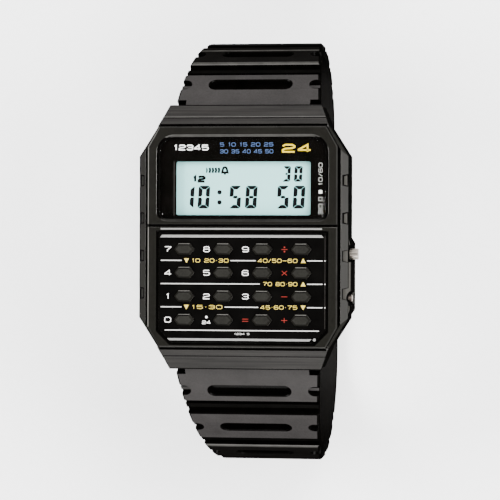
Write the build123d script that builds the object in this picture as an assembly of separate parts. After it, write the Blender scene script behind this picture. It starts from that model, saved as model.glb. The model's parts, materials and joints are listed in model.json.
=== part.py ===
from build123d import *
import math
import os

# Calculator watch: a moulded resin case with a four by four keypad under a display window,
# a steel case back with four screws, and a two-piece moulded strap with a steel buckle.
# Millimetres. The dial faces +Z, twelve o'clock is +Y and three o'clock is +X.
# The origin is the centre of the case back's outer face.

os.makedirs("parts", exist_ok=True)

# Clearances that the pieces share
running_gap = 0.05
seat_gap = 0.05
cheek_gap = 0.15
cut_overrun = 1.0
cut_reach = 120.0

# Case outline, looking at the dial
case_half_width = 17.2
case_half_length = 18.05
corner_run = 3.15
corner_rise = 4.95
cover_taper = 1.55
cover_length = 3.55
shelf_width = 1.15
shelf_drop = 0.6
shelf_corner_shift = 1.0
groove_width = 0.45
groove_depth = 0.65
bezel_proud = 0.65
flank_low_height = 2.0
rim_height = 0.4
flank_inset = 1.3

flank_half_length = case_half_length - corner_rise
case_end_half_width = case_half_width - corner_run
cover_tip_half_width = case_end_half_width - cover_taper

# Things stacked up through the case, from its back to its front
back_thickness = 0.7
buzzer_thickness = 0.25
clip_gap = 0.1
clip_thickness = 0.15
battery_thickness = 1.6
board_gap = 0.1
board_thickness = 0.6
zebra_height = 0.85
lcd_thickness = 1.3
lcd_gap = 0.2
bezel_thickness = 2.35

buzzer_top = back_thickness + buzzer_thickness
clip_low = buzzer_top + clip_gap
battery_low = clip_low + clip_thickness
board_low = battery_low + battery_thickness + board_gap
board_top = board_low + board_thickness
lcd_low = board_top + zebra_height
lcd_top = lcd_low + lcd_thickness
bezel_low = lcd_top + lcd_gap
case_height = bezel_low + bezel_thickness
shelf_inner = case_height - bezel_proud
shelf_outer = shelf_inner - shelf_drop

# Front bezel, its window and its keypad opening
bezel_end_gap = 0.1
bezel_corner_length = 3.3
corner_wall = 0.34
bezel_side_width = 1.83
bezel_top_width = 1.69
bezel_foot_width = 0.75
bezel_edge_chamfer = 0.18
inner_bevel_depth = 0.45
inner_bevel_angle = 40.0
glass_thickness = 0.9
mask_thickness = 0.25
glass_share = 0.4275
glass_top_radius = 2.6
glass_low_radius = 1.3
middle_bar_width = 2.28
split_groove_width = 0.5
split_groove_depth = 0.4
split_groove_drop = 1.1
keypad_corner = 2.2
keypad_ledge = 0.6
window_side = 2.62
window_head = 3.77
window_foot = 0.62
window_margin = 0.15

bezel_half_width = case_half_width - shelf_width - groove_width
bezel_half_length = case_half_length - bezel_end_gap
bezel_end_half_width = case_end_half_width - corner_wall
opening_half_width = bezel_half_width - bezel_side_width
window_half_width = opening_half_width - window_side
glass_high = bezel_half_length - bezel_top_width
keypad_low = bezel_foot_width - bezel_half_length
glass_low = glass_high - glass_share * (glass_high - keypad_low - middle_bar_width)
keypad_high = glass_low - middle_bar_width
glass_face = case_height - inner_bevel_depth
glass_seat = glass_face - glass_thickness
mask_seat = glass_seat - mask_thickness
window_low = glass_low + window_foot
window_high = glass_high - window_head

# Keypad plate and its sixteen keys
plate_thickness = 0.5
key_columns = 4
key_row_count = 4
key_side_margin = 4.17
key_end_margins = 6.36
key_field_rise = 0.53
key_half_width = 1.7
key_flat_half = 0.95
key_half_height = 0.95
key_bevel = 0.3
key_proud = 0.35
key_gap = 0.08
key_flange = 0.35
key_flange_thickness = 0.4
key_stem_radius = 0.7
key_travel = 0.4
dome_radius = 1.3
dome_top_radius = 0.9
dome_height = 0.85
mat_thickness = 0.5
mat_gap = 0.45
dome_gap = 0.05
key_room_foot = 1.8
key_room_head = 0.8

key_pitch_x = 2 * (opening_half_width - key_side_margin) / (key_columns - 1)
key_pitch_y = (keypad_high - keypad_low - key_end_margins) / (key_row_count - 1)
plate_face = glass_face
plate_low = plate_face - plate_thickness
key_top = plate_face + key_proud
dome_top = board_top + mat_thickness + dome_height
key_foot = dome_top + dome_gap + key_travel
keypad_middle = (keypad_high + keypad_low) / 2 + key_field_rise

# Hollow of the case and the plate that closes it
cavity_wall = 3.0
cavity_end_wall = 1.65
cavity_corner = 0.5
well_wall = 3.4
well_end_wall = 2.15
well_corner_run = 5.05
well_corner_rise = 4.5
well_step = 0.05
back_ledge = 1.1
back_corner_run = 1.95
back_corner_rise = 0.7
gasket_inset = 0.3
gasket_width = 0.5
gasket_height = 0.6
screw_from_side = 2.6
screw_from_end = 2.95
screw_radius = 0.5
screw_length = 1.7
screw_head_radius = 0.95
screw_head_thickness = 0.4
screw_head_sink = 0.08

cavity_half_width = case_half_width - cavity_wall
cavity_half_length = case_half_length - cavity_end_wall
cavity_flank = flank_half_length - cavity_corner
cavity_end_half_width = case_end_half_width - cavity_end_wall
well_half_width = case_half_width - well_wall
well_half_length = case_half_length - well_end_wall
well_flank = flank_half_length - well_corner_rise
well_end_half_width = case_end_half_width - well_corner_run
back_half_width = well_half_width + back_ledge
back_half_length = well_half_length + back_ledge
back_flank = flank_half_length - back_corner_rise
back_end_half_width = case_end_half_width - back_corner_run
screw_across = back_half_width - screw_from_side
screw_along = back_half_length - screw_from_end
well_top = board_low - well_step

# Parts of the movement
module_gap = 0.2
battery_radius = 10.0
battery_end_gap = 1.0
battery_step_radius = 8.6
battery_step = 0.3
clip_width = 4.0
clip_side_gap = 0.1
buzzer_radius = 8.0
buzzer_drop = 3.0
buzzer_element_radius = 5.5
buzzer_element = 0.1
buzzer_spring_x = 6.2
buzzer_spring_wall = 0.5
buzzer_coil_radius = 0.55
buzzer_wire_radius = 0.11
buzzer_turns = 4
lcd_side_margin = 1.45
lcd_margin = 1.0
lcd_glass_step = 0.6
reflector_thickness = 0.12
zebra_width = 1.0
zebra_end_gap = 1.4
chip_half_width = 3.2
chip_half_length = 2.4
chip_thickness = 0.4
crystal_radius = 0.7
crystal_length = 5.0
crystal_side_gap = 5.3
crystal_end_gap = 5.4
leaf_thickness = 0.1
leaf_half_width = 0.8
leaf_height = 1.5
leaf_foot = 0.3
relief_half = 1.3
relief_reach = 1.6
relief_rise = 1.0

battery_y = well_half_length - battery_end_gap - battery_radius
buzzer_spring_room = buzzer_coil_radius + 2 * buzzer_wire_radius + clip_side_gap
buzzer_spring_reach = battery_radius + clip_side_gap + buzzer_spring_wall + buzzer_spring_room
buzzer_spring_y = battery_y - math.sqrt(buzzer_spring_reach**2 - buzzer_spring_x**2)
crystal_x = crystal_side_gap - well_half_width
crystal_y = crystal_end_gap - well_half_length
lcd_half_width = window_half_width + lcd_side_margin
zebra_half_length = lcd_half_width - zebra_end_gap

# Side pushers
pusher_height = 4.4
guard_reach = 0.57
guard_high = 0.0
guard_end_gap = 0.5
guard_slope = 0.9
guard_low = 2.2
notch_sink = 0.1
notch_end_gap = 3.92
notch_count = 4
notch_half_outer = 1.15
notch_half_inner = 0.85
notch_inner_gap = 0.25
mode_from_end = 2.7
mode_radius = 0.915
mode_reach = 0.83
mode_head_length = 1.4
mode_travel = 0.6
mode_stem_radius = 0.5
ridge_radius = 0.1
mode_ridges = 14
mode_slot_half = 1.25
mode_slot_low = 1.2
adjust_from_end = 2.75
adjust_radius = 0.55
adjust_sink = 0.17
adjust_head_length = 1.4
adjust_travel = 0.4
adjust_stem_radius = 0.35
scoop_radius = 1.3
scoop_out = 0.53
scoop_low = 1.5
coil_room = 1.3
adjust_coil_room = 0.9
bore_gap = 0.06
seal_wire = 0.2
adjust_seal_wire = 0.15
seal_setback = 0.55
stem_inset = 0.55
pusher_clip_thickness = 0.17
pusher_clip_width = 0.38
pusher_clip_gap = 0.03
coil_wire_radius = 0.07
coil_turns = 4
adjust_coil_turns = 3

guard_face = case_half_width + guard_reach
guard_foot = guard_end_gap - flank_half_length
mode_y = guard_high - mode_from_end
adjust_y = guard_foot + adjust_from_end
notch_pitch = 2 * (flank_half_length - notch_end_gap) / (notch_count - 1)
notch_floor = shelf_outer - notch_sink

# Lugs, spring bars and strap barrels
lug_wall_thickness = 0.55
bar_reach = 1.35
bar_height = 2.4
barrel_radius = 1.7
lug_side = 3.75
bar_radius = 0.75
bar_pin_radius = 0.4
bar_pin_length = 0.8
cover_gap = 0.1
cover_tip_thickness = 0.8
cover_root_drop = 0.7
cover_step_y = 1.65
cover_step_height = 0.14
cheek_low = 0.7
cheek_reach = 1.8
cheek_chamfer = 0.6

lug_wall = case_half_length - lug_wall_thickness
bar_y = case_half_length + bar_reach
barrel_half_length = case_end_half_width - lug_side
cover_under = bar_height + barrel_radius + cover_gap
cover_tip = case_half_length + cover_length
cover_tip_top = cover_under + cover_tip_thickness
cover_root = case_height - cover_root_drop

# Strap, measured along its outer face from where it leaves the barrel
root_slope = 30.0
strap_shoulder = 1.85
taper_share = 0.1
root_thickness = 3.0
end_thickness = 2.2
shoulder_reach = 2.7
buckle_front_radius = 25.9
buckle_back_radius = 15.0
buckle_straight = 14.9
tail_front_radius = 36.3
tail_drop = 13.0
tail_straight = 39.4
tail_tip_flat = 2.35
strap_chamfer = 0.3
first_groove = 8.7
groove_length = 3.1
face_length = 7.7
strap_groove_depth = 1.0
ridge_half = 0.45
ridge_height = 0.5
slot_width = 2.1
slot_margin_share = 0.387
slot_depth = 1.1
mouth_chamfer = 0.2
first_slot = 6.2
edge_pocket = 1.75
pocket_ridge_half = 0.3
buckle_faces = 4
tail_faces = 5
hole_count = 8
hole_pitch = 5.6
hole_width = 2.6
hole_length = 1.9
hole_corner = 0.5
first_hole = 9.0
path_samples = 400

strap_half_width = barrel_half_length + strap_shoulder
slot_margin = slot_margin_share * strap_half_width

# Buckle and keeper
pin_radius = 0.75
end_barrel_radius = 1.45
tongue_slot_half = 1.15
tongue_slot_length = 3.4
frame_arm = 1.3
frame_height = 2.0
frame_reach = 11.3
frame_back = 1.6
frame_bar = 2.4
frame_corner = 2.0
frame_edge = 0.45
tongue_half_width = 0.85
tongue_ring_radius = 1.35
tongue_thickness = 0.9
tongue_overhang = 0.9
tongue_tip_height = 0.4
keeper_reach = 8.7
keeper_width = 4.2
keeper_wall = 1.2
keeper_side_gap = 0.3
keeper_rest_gap = 0.12
keeper_room = 5.0
keeper_corner = 1.0


def octagon(half_width, flank, end_half_width, half_length):
    """The corners of a rectangle with its four corners cut off."""
    quarter = [(half_width, flank), (end_half_width, half_length)]
    upper = quarter + [(-x, y) for x, y in reversed(quarter)]
    return upper + [(-x, -y) for x, y in upper]


def outline_face(points, height):
    """A flat face over an outline at a height."""
    return Pos(0, 0, height) * make_face(Polyline(*points, close=True))


def slab(points, low, high):
    """A straight-sided solid over an outline."""
    return extrude(outline_face(points, low), high - low)


def sloped(low_points, low, high_points, high):
    """A solid with sloping sides between two outlines."""
    return loft([outline_face(low_points, low), outline_face(high_points, high)], ruled=True)


def block(x_from, x_to, y_from, y_to, low, high):
    """A box from its six sides."""
    middle = Pos((x_from + x_to) / 2, (y_from + y_to) / 2, (low + high) / 2)
    return middle * Box(x_to - x_from, y_to - y_from, high - low)


def rod(radius, x_from, x_to, y, z):
    """A round bar along X."""
    return Pos((x_from + x_to) / 2, y, z) * Rot(0, 90, 0) * Cylinder(radius, x_to - x_from)


def post(radius, x, y, low, high):
    """A round bar along Z."""
    return Pos(x, y, (low + high) / 2) * Cylinder(radius, high - low)


def side_profile(points, half_width):
    """An outline drawn in Y and Z, given its width along X both ways."""
    face = Plane.YZ * make_face(Polyline(*points, close=True))
    return extrude(face, half_width, both=True)


def save(name, shape):
    """Write one named piece."""
    export_step(shape, f"parts/{name}.step")


def window_sketch(half_width, low, high, top_radius, low_radius):
    """A flat window outline with rounder corners above than below."""
    middle = Pos(0, (low + high) / 2)
    sheet = middle * Rectangle(2 * half_width, high - low)
    corners = sheet.vertices().sort_by(Axis.Y)
    sheet = fillet(corners[:2], low_radius)
    return fillet(sheet.vertices().sort_by(Axis.Y)[-2:], top_radius)


def foot_cut(side, low, high):
    """The outline of a rectangle with its two lower corners cut."""
    cut = keypad_corner
    return [
        (side, high),
        (-side, high),
        (-side, low + cut),
        (-side + cut, low),
        (side - cut, low),
        (side, low + cut),
    ]


def keypad_outline(grow):
    """The keypad's outline, let out by a gap."""
    return foot_cut(opening_half_width + grow, keypad_low - grow, keypad_high + grow)


def key_outline(grow):
    """A lozenge with flat top and bottom and pointed ends."""
    tip = key_half_width + grow
    flat = key_flat_half + grow / 2
    rise = key_half_height + grow
    return [(tip, 0), (flat, rise), (-flat, rise), (-tip, 0), (-flat, -rise), (flat, -rise)]


key_rows = [
    ["key_7", "key_8", "key_9", "key_divide"],
    ["key_4", "key_5", "key_6", "key_times"],
    ["key_1", "key_2", "key_3", "key_minus"],
    ["key_0", "key_point", "key_equals", "key_plus"],
]


def key_places():
    """Each key's name and its centre on the keypad."""
    middle = (len(key_rows) - 1) / 2
    for row, names in enumerate(key_rows):
        for column, name in enumerate(names):
            x = (column - middle) * key_pitch_x
            y = keypad_middle + (middle - row) * key_pitch_y
            yield name, x, y


case_outline = octagon(case_half_width, flank_half_length, case_end_half_width, case_half_length)
bezel_flank = bezel_half_length - bezel_corner_length
back_outline = octagon(back_half_width, back_flank, back_end_half_width, back_half_length)


def grown_octagon(grow, half_width, flank, end_half_width, half_length):
    """A cut-cornered outline, let out or taken in all round."""
    return octagon(half_width + grow, flank + grow / 2, end_half_width + grow / 2, half_length + grow)


def bezel_outline(grow):
    """The bezel's outline, let out by a gap."""
    return grown_octagon(
        grow, bezel_half_width, bezel_flank, bezel_end_half_width, bezel_half_length
    )


def well_outline(grow):
    """The outline of the well behind the circuit board."""
    return grown_octagon(grow, well_half_width, well_flank, well_end_half_width, well_half_length)


def cavity_outline(grow):
    """The outline of the wide hollow in front of the circuit board."""
    return grown_octagon(
        grow, cavity_half_width, cavity_flank, cavity_end_half_width, cavity_half_length
    )


def four_ways(x, y):
    """A place and its mirror images about both middle lines."""
    return [(x, y), (-x, y), (-x, -y), (x, -y)]


def lug_cover():
    """One sloping cover over a strap end, with the two cheeks that hold its spring bar."""
    weld = corner_wall
    step_y = case_half_length + cover_step_y
    fall = (cover_root - cover_tip_top) / cover_length
    step_top = cover_root - cover_step_y * fall
    cheek_tip = bar_y + cheek_reach
    profile = [
        (case_half_length - weld, cheek_low),
        (cheek_tip - cheek_chamfer, cheek_low),
        (cheek_tip, cheek_low + cheek_chamfer),
        (cheek_tip, cover_under),
        (cover_tip, cover_under),
        (cover_tip, cover_tip_top),
        (step_y, step_top - cover_step_height),
        (step_y, step_top),
        (case_half_length, cover_root),
        (case_half_length - weld, cover_root),
    ]
    plan = [
        (case_end_half_width, case_half_length - weld),
        (case_end_half_width, case_half_length),
        (cover_tip_half_width, cover_tip),
        (-cover_tip_half_width, cover_tip),
        (-case_end_half_width, case_half_length),
        (-case_end_half_width, case_half_length - weld),
    ]
    whole = side_profile(profile, case_end_half_width) & slab(plan, 0, case_height)
    strap_side = barrel_half_length + cheek_gap
    pocket = block(-strap_side, strap_side, lug_wall, cover_tip + cut_overrun, 0, cover_under)
    holes = rod(
        bar_pin_radius + running_gap,
        -strap_side - bar_pin_length - running_gap,
        strap_side + bar_pin_length + running_gap,
        bar_y,
        bar_height,
    )
    return whole - pocket - holes


def pusher_guard():
    """The raised guard on the three o'clock flank, slotted for one pusher and scooped for the other."""
    plan = [
        (case_half_width - guard_reach, guard_high),
        (case_half_width, guard_high),
        (guard_face, guard_high - guard_slope),
        (guard_face, guard_foot + guard_slope),
        (case_half_width, guard_foot),
        (case_half_width - guard_reach, guard_foot),
    ]
    guard = slab(plan, guard_low, notch_floor)
    guard = guard - block(
        case_half_width,
        guard_face + cut_overrun,
        mode_y - mode_slot_half,
        mode_y + mode_slot_half,
        pusher_height - mode_slot_low,
        case_height,
    )
    return guard


class Pusher:
    """One push button through the three o'clock flank, with its bore, seal, clip and coil."""

    def __init__(self, y, radius, stem_radius, tip, head_length, room, travel):
        self.y = y
        self.radius = radius
        self.stem_radius = stem_radius
        self.tip = tip
        self.head_root = tip - head_length
        self.floor = self.head_root - room
        self.stem_end = cavity_half_width - stem_inset
        self.contact_face = self.stem_end - travel - leaf_thickness / 2

    def bar(self, radius, x_from, x_to):
        """A round bar on the button's axis."""
        return rod(radius, x_from, x_to, self.y, pusher_height)

    def piece(self, ridges):
        """The button: a round head outside and a thin stem that reaches into the case."""
        head = self.bar(self.radius, self.head_root, self.tip)
        head = chamfer(head.edges().sort_by(Axis.X)[-1:], ridge_radius)
        for number in range(ridges):
            angle = 2 * math.pi * number / ridges
            groove_y = self.y + self.radius * math.cos(angle)
            groove_z = pusher_height + self.radius * math.sin(angle)
            end = self.tip + cut_overrun
            head -= rod(ridge_radius, case_half_width, end, groove_y, groove_z)
        return head + self.bar(self.stem_radius, self.stem_end, self.head_root)

    def bore(self, wire):
        """The stepped hole through the case wall, with its seal groove."""
        middle = self.floor - seal_setback
        half = wire + bore_gap
        head_room = self.bar(self.radius + bore_gap, self.floor, guard_face + cut_overrun)
        stem_room = self.bar(
            self.stem_radius + bore_gap, cavity_half_width - cut_overrun, self.floor
        )
        groove = self.bar(self.stem_radius + 2 * wire + bore_gap, middle - half, middle + half)
        return head_room + stem_room + groove

    def seal(self, wire):
        """The rubber ring round the stem."""
        ring = Torus(self.stem_radius + wire + running_gap / 2, wire)
        place = Pos(self.floor - seal_setback, self.y, pusher_height)
        return place * Rot(0, 90, 0) * ring

    def clip(self):
        """The ring clip that keeps the button in the case."""
        face = cavity_half_width - pusher_clip_gap
        ring = self.bar(self.stem_radius + pusher_clip_width, face - pusher_clip_thickness, face)
        hole = self.bar(self.stem_radius + running_gap / 2, face - cut_overrun, face + cut_overrun)
        return ring - hole

    def spring(self, turns):
        """The return spring round the stem, between the bore's floor and the head."""
        radius = (self.stem_radius + self.radius) / 2
        place = Pos(self.floor, self.y, pusher_height) * Rot(0, 90, 0)
        return place * coil(radius, coil_wire_radius, self.head_root - self.floor, turns)


mode = Pusher(
    mode_y,
    mode_radius,
    mode_stem_radius,
    guard_face + mode_reach,
    mode_head_length,
    coil_room,
    mode_travel,
)
adjust = Pusher(
    adjust_y,
    adjust_radius,
    adjust_stem_radius,
    guard_face - adjust_sink,
    adjust_head_length,
    adjust_coil_room,
    adjust_travel,
)


def case_shell():
    """The moulded case: flanks, shelf round the bezel, notches, guard, covers and hollow."""
    low_outline = grown_octagon(
        -flank_inset, case_half_width, flank_half_length, case_end_half_width, case_half_length
    )
    shelf_outline = octagon(
        bezel_half_width + groove_width,
        flank_half_length + shelf_corner_shift,
        bezel_end_half_width + seat_gap,
        case_half_length,
    )
    shell = slab(case_outline, flank_low_height, shelf_outer)
    shell += sloped(low_outline, rim_height, case_outline, flank_low_height)
    shell += sloped(case_outline, shelf_outer, shelf_outline, shelf_inner)
    cover = lug_cover()
    cheek = barrel_half_length + cheek_gap
    lug_pocket = block(-cheek, cheek, lug_wall, cover_tip, 0, cover_under)
    shell = shell - lug_pocket - mirror(lug_pocket, about=Plane.XZ)
    shell = shell + cover + mirror(cover, about=Plane.XZ) + pusher_guard()

    shell -= slab(bezel_outline(seat_gap), bezel_low, case_height + cut_overrun)
    shell -= slab(shelf_outline, shelf_inner - groove_depth, case_height + cut_overrun)
    shell -= slab(cavity_outline(0), well_top, case_height)
    shell -= slab(well_outline(0), 0, case_height)
    shell -= slab(
        grown_octagon(
            seat_gap, back_half_width, back_flank, back_end_half_width, back_half_length
        ),
        0,
        back_thickness,
    )
    shell -= gasket_ring(seat_gap)
    for x, y in four_ways(screw_across, screw_along):
        shell -= post(screw_radius + running_gap, x, y, 0, back_thickness + screw_length)

    inner = bezel_half_width + groove_width + notch_inner_gap
    outer = case_half_width + guard_reach
    for number in range(notch_count):
        y = (number - (notch_count - 1) / 2) * notch_pitch
        plan = [
            (inner, y - notch_half_inner),
            (outer, y - notch_half_outer),
            (outer, y + notch_half_outer),
            (inner, y + notch_half_inner),
        ]
        notch = slab(plan, notch_floor, case_height)
        shell = shell - notch - mirror(notch, about=Plane.YZ)

    scoop_x = guard_face + scoop_out
    shell -= post(scoop_radius, scoop_x, adjust_y, pusher_height - scoop_low, case_height)
    return shell - mode.bore(seal_wire) - adjust.bore(adjust_seal_wire)


def gasket_ring(gap):
    """The square-section ring that seals the case back."""
    outer = slab(
        well_outline(gasket_inset + gasket_width + gap / 2),
        back_thickness,
        back_thickness + gasket_height + gap,
    )
    inner = slab(well_outline(gasket_inset - gap / 2), 0, case_height)
    return outer - inner


def front_bezel():
    """The front frame, with the window seat above the middle bar and the keypad seat below it."""
    bezel = slab(bezel_outline(0), bezel_low, case_height)
    top_edges = bezel.faces().sort_by(Axis.Z)[-1].edges()
    bezel = chamfer(top_edges, bezel_edge_chamfer)
    spread = inner_bevel_depth * math.tan(math.radians(inner_bevel_angle))
    window = window_sketch(
        opening_half_width, glass_low, glass_high, glass_top_radius, glass_low_radius
    )
    bezel -= extrude(Pos(0, 0, mask_seat) * window, glass_face - mask_seat)
    bezel -= extrude(Pos(0, 0, glass_face) * window, inner_bevel_depth, taper=-inner_bevel_angle)
    bezel -= block(
        -window_half_width - window_margin,
        window_half_width + window_margin,
        window_low - window_margin,
        window_high + window_margin,
        0,
        case_height,
    )
    bezel -= slab(keypad_outline(0), plate_low, plate_face)
    bezel -= sloped(keypad_outline(0), plate_face, keypad_outline(spread), case_height)
    bezel -= slab(keypad_outline(-keypad_ledge), 0, case_height)
    split_y = glass_low - split_groove_drop
    bezel -= block(
        -case_half_width,
        case_half_width,
        split_y - split_groove_width / 2,
        split_y + split_groove_width / 2,
        case_height - split_groove_depth,
        case_height + cut_overrun,
    )
    return bezel


def window_sheet(low, high):
    """A sheet that drops into the window seat."""
    sheet = window_sketch(
        opening_half_width - seat_gap,
        glass_low + seat_gap,
        glass_high - seat_gap,
        glass_top_radius,
        glass_low_radius,
    )
    return extrude(Pos(0, 0, low) * sheet, high - low)


def display_mask():
    """The black border behind the glass, open over the display."""
    hole = block(-window_half_width, window_half_width, window_low, window_high, 0, case_height)
    return window_sheet(mask_seat, glass_seat) - hole


def keypad_plate():
    """The black plate that the keys come through."""
    plate = slab(keypad_outline(-seat_gap), plate_low, plate_face)
    for name, x, y in key_places():
        plate -= Pos(x, y, 0) * slab(key_outline(key_gap), 0, case_height)
    return plate


def key_piece(x, y):
    """One key: a bevelled lozenge on a flange that stays under the plate, with a round foot."""
    shoulder = key_top - key_bevel
    top = sloped(key_outline(0), shoulder, key_outline(-key_bevel), key_top)
    body = slab(key_outline(0), plate_low - key_flange_thickness, shoulder)
    flange = slab(key_outline(key_flange), plate_low - key_flange_thickness, plate_low)
    foot = post(key_stem_radius, 0, 0, key_foot, plate_low - key_flange_thickness)
    return Pos(x, y, 0) * (top + body + flange + foot)


def key_room(grow):
    """The outline of the room in the movement under the keypad."""
    low = keypad_low + key_room_foot - grow
    high = keypad_high - key_room_head + grow
    return foot_cut(opening_half_width - keypad_ledge + grow, low, high)


def contact_mat():
    """The rubber sheet on the circuit board with a dome under each key."""
    sheet = slab(key_room(-mat_gap), board_top, board_top + mat_thickness)
    for name, x, y in key_places():
        cone = Cone(dome_radius, dome_top_radius, dome_height)
        sheet += Pos(x, y, board_top + mat_thickness + dome_height / 2) * cone
    return sheet


def lcd_cell():
    """Two bonded glasses, the front one shorter so that the contacts of the back one show."""
    low = window_low - lcd_margin
    high = window_high + lcd_margin
    back = block(-lcd_half_width, lcd_half_width, low, high, lcd_low, lcd_low + lcd_glass_step)
    front = block(
        -lcd_half_width + lcd_margin / 2,
        lcd_half_width - lcd_margin / 2,
        low,
        high,
        lcd_low + lcd_glass_step,
        lcd_top,
    )
    return back + front


def zebra_places():
    """The centre lines of the two contact strips under the display's long edges."""
    return [window_low - lcd_margin + zebra_width, window_high + lcd_margin - zebra_width]


def zebra_strips():
    """Two rubber contact strips between the circuit board and the display."""
    strips = [
        block(
            -zebra_half_length,
            zebra_half_length,
            y - zebra_width / 2,
            y + zebra_width / 2,
            board_top,
            lcd_low,
        )
        for y in zebra_places()
    ]
    return Compound(children=[strip.solid() for strip in strips])


def lcd_reflector():
    """The foil under the display, between its contact strips."""
    low, high = zebra_places()
    gap = zebra_width / 2 + clip_gap
    return block(
        -window_half_width,
        window_half_width,
        low + gap,
        high - gap,
        lcd_low - reflector_thickness,
        lcd_low,
    )


def module_frame():
    """The moulded frame in front of the board, open for the display and the keys."""
    frame = slab(cavity_outline(-module_gap), board_top, bezel_low - seat_gap)
    low = window_low - lcd_margin - clip_gap
    high = window_high + lcd_margin + clip_gap
    side = lcd_half_width + clip_gap
    frame -= block(-side, side, low, high, lcd_low, case_height)
    ledge = side - lcd_margin / 2
    frame -= block(-ledge, ledge, low, high, 0, case_height)
    frame -= slab(key_room(-cheek_gap), 0, case_height)
    for pusher in (mode, adjust):
        frame -= block(
            cavity_half_width - relief_reach,
            cavity_half_width,
            pusher.y - relief_half,
            pusher.y + relief_half,
            0,
            pusher_height + relief_rise,
        )
    return frame


def battery_holder():
    """The moulded frame behind the board, bored for the battery, the crystal and the coil."""
    holder = slab(well_outline(-module_gap), battery_low, board_low)
    holder -= post(battery_radius + clip_side_gap, 0, battery_y, 0, case_height)
    holder -= post(buzzer_spring_room, buzzer_spring_x, buzzer_spring_y, 0, case_height)
    room = crystal_radius + clip_side_gap
    holder -= block(
        crystal_x - room,
        crystal_x + room,
        crystal_y - crystal_length / 2 - clip_side_gap,
        crystal_y + crystal_length / 2 + clip_side_gap,
        0,
        case_height,
    )
    return holder


def battery():
    """A coin cell, its smaller cap towards the board."""
    shoulder = battery_low + battery_thickness - battery_step
    cell = post(battery_radius, 0, battery_y, battery_low, shoulder)
    cap = post(battery_step_radius, 0, battery_y, shoulder, battery_low + battery_thickness)
    return cell + cap


def battery_clip():
    """The steel strap across the battery, hooked over the holder's two flanks."""
    reach = well_half_width - module_gap
    strap = block(
        -reach,
        reach,
        battery_y - clip_width / 2,
        battery_y + clip_width / 2,
        clip_low,
        battery_low,
    )
    return strap


def coil(radius, wire, length, turns):
    """A coil spring along Z, from its first wire's lower side to its last wire's upper side."""
    rise = length - 2 * wire
    path = Helix(rise / turns, rise, radius)
    section = Plane(origin=path @ 0, z_dir=path % 0) * Circle(wire)
    return Pos(0, 0, wire) * sweep(section, path=path, is_frenet=True)


def side_contacts():
    """Two leaf springs on the board's edge, one behind each pusher."""
    leaves = []
    for pusher in (mode, adjust):
        face = pusher.contact_face
        low = pusher.y - leaf_half_width
        high = pusher.y + leaf_half_width
        upright = block(face - leaf_thickness, face, low, high, board_top, board_top + leaf_height)
        foot = block(
            face - leaf_thickness,
            face + leaf_foot,
            low,
            high,
            board_top,
            board_top + leaf_thickness,
        )
        leaves.append((upright + foot).solid())
    return Compound(children=leaves)


def back_plate():
    """The steel case back, counterbored for its screws."""
    plate = slab(back_outline, 0, back_thickness)
    for x, y in four_ways(screw_across, screw_along):
        plate -= post(screw_radius + running_gap, x, y, 0, back_thickness)
        plate -= post(
            screw_head_radius + running_gap, x, y, 0, screw_head_sink + screw_head_thickness
        )
    return plate


def back_screws():
    """Four screws with slotted heads, seated in the case back."""
    screws = []
    slot_half = screw_radius / 4
    for x, y in four_ways(screw_across, screw_along):
        head_top = screw_head_sink + screw_head_thickness
        head = post(screw_head_radius, x, y, screw_head_sink, head_top)
        shank = post(screw_radius, x, y, head_top, back_thickness + screw_length - running_gap)
        slot = block(
            x - screw_head_radius,
            x + screw_head_radius,
            y - slot_half,
            y + slot_half,
            0,
            screw_head_sink + screw_head_thickness / 2,
        )
        screws.append((head + shank - slot).solid())
    return Compound(children=screws)


def spring_bar():
    """The bar that a strap end turns on, with a thinner pin at each end."""
    half = barrel_half_length + cheek_gap - running_gap
    pins = rod(bar_pin_radius, -half - bar_pin_length, half + bar_pin_length, bar_y, bar_height)
    return rod(bar_radius, -half, half, bar_y, bar_height) + pins


class StrapPath:
    """The outer face of one strap half, seen from the side: two arcs and a straight."""

    def __init__(self, front_radius, back_radius, straight):
        self.lean = math.radians(90 - root_slope)
        self.front_radius = front_radius
        self.back_radius = back_radius
        self.straight = straight
        start_y = bar_y + barrel_radius * math.cos(self.lean)
        start_z = bar_height + barrel_radius * math.sin(self.lean)
        self.front_y = start_y - front_radius * math.cos(self.lean)
        self.middle_z = start_z - front_radius * math.sin(self.lean)
        self.back_y = self.front_y + front_radius - back_radius
        self.front_length = front_radius * self.lean
        self.back_length = back_radius * math.pi / 2
        self.length = self.front_length + self.back_length + straight
        self.low = self.middle_z - back_radius

    def angle(self, reach):
        """The direction that the outer face looks in."""
        if reach <= self.front_length:
            return self.lean - reach / self.front_radius
        beyond = min(reach - self.front_length, self.back_length)
        return -beyond / self.back_radius

    def point(self, reach, depth):
        """A point at a depth under the outer face."""
        angle = self.angle(reach)
        if reach <= self.front_length:
            centre, radius = self.front_y, self.front_radius
        else:
            centre, radius = self.back_y, self.back_radius
        past = max(reach - self.front_length - self.back_length, 0)
        y = centre + (radius - depth) * math.cos(angle) - past
        z = self.middle_z + (radius - depth) * math.sin(angle)
        return y, z

    def plane(self, reach):
        """A frame on the outer face: y along the strap and z outwards."""
        y, z = self.point(reach, 0)
        angle = self.angle(reach)
        outwards = (0, math.cos(angle), math.sin(angle))
        return Plane(origin=(0, y, z), x_dir=(1, 0, 0), z_dir=outwards)

    def thickness(self, reach):
        """The strap thins from its root to the end of its first arc."""
        part = min(reach / self.front_length, 1)
        return root_thickness + (end_thickness - root_thickness) * part

    def half_width(self, reach):
        """The strap narrows from its root to the end of its first arc."""
        return strap_half_width - taper_share * min(reach, self.front_length)

    def arc(self, reach_from, reach_to, deep):
        """A stretch of the outer face, or of the inner one."""
        stops = (reach_from, (reach_from + reach_to) / 2, reach_to)
        points = [self.point(s, self.thickness(s) if deep else 0) for s in stops]
        return ThreePointArc(*points)


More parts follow.
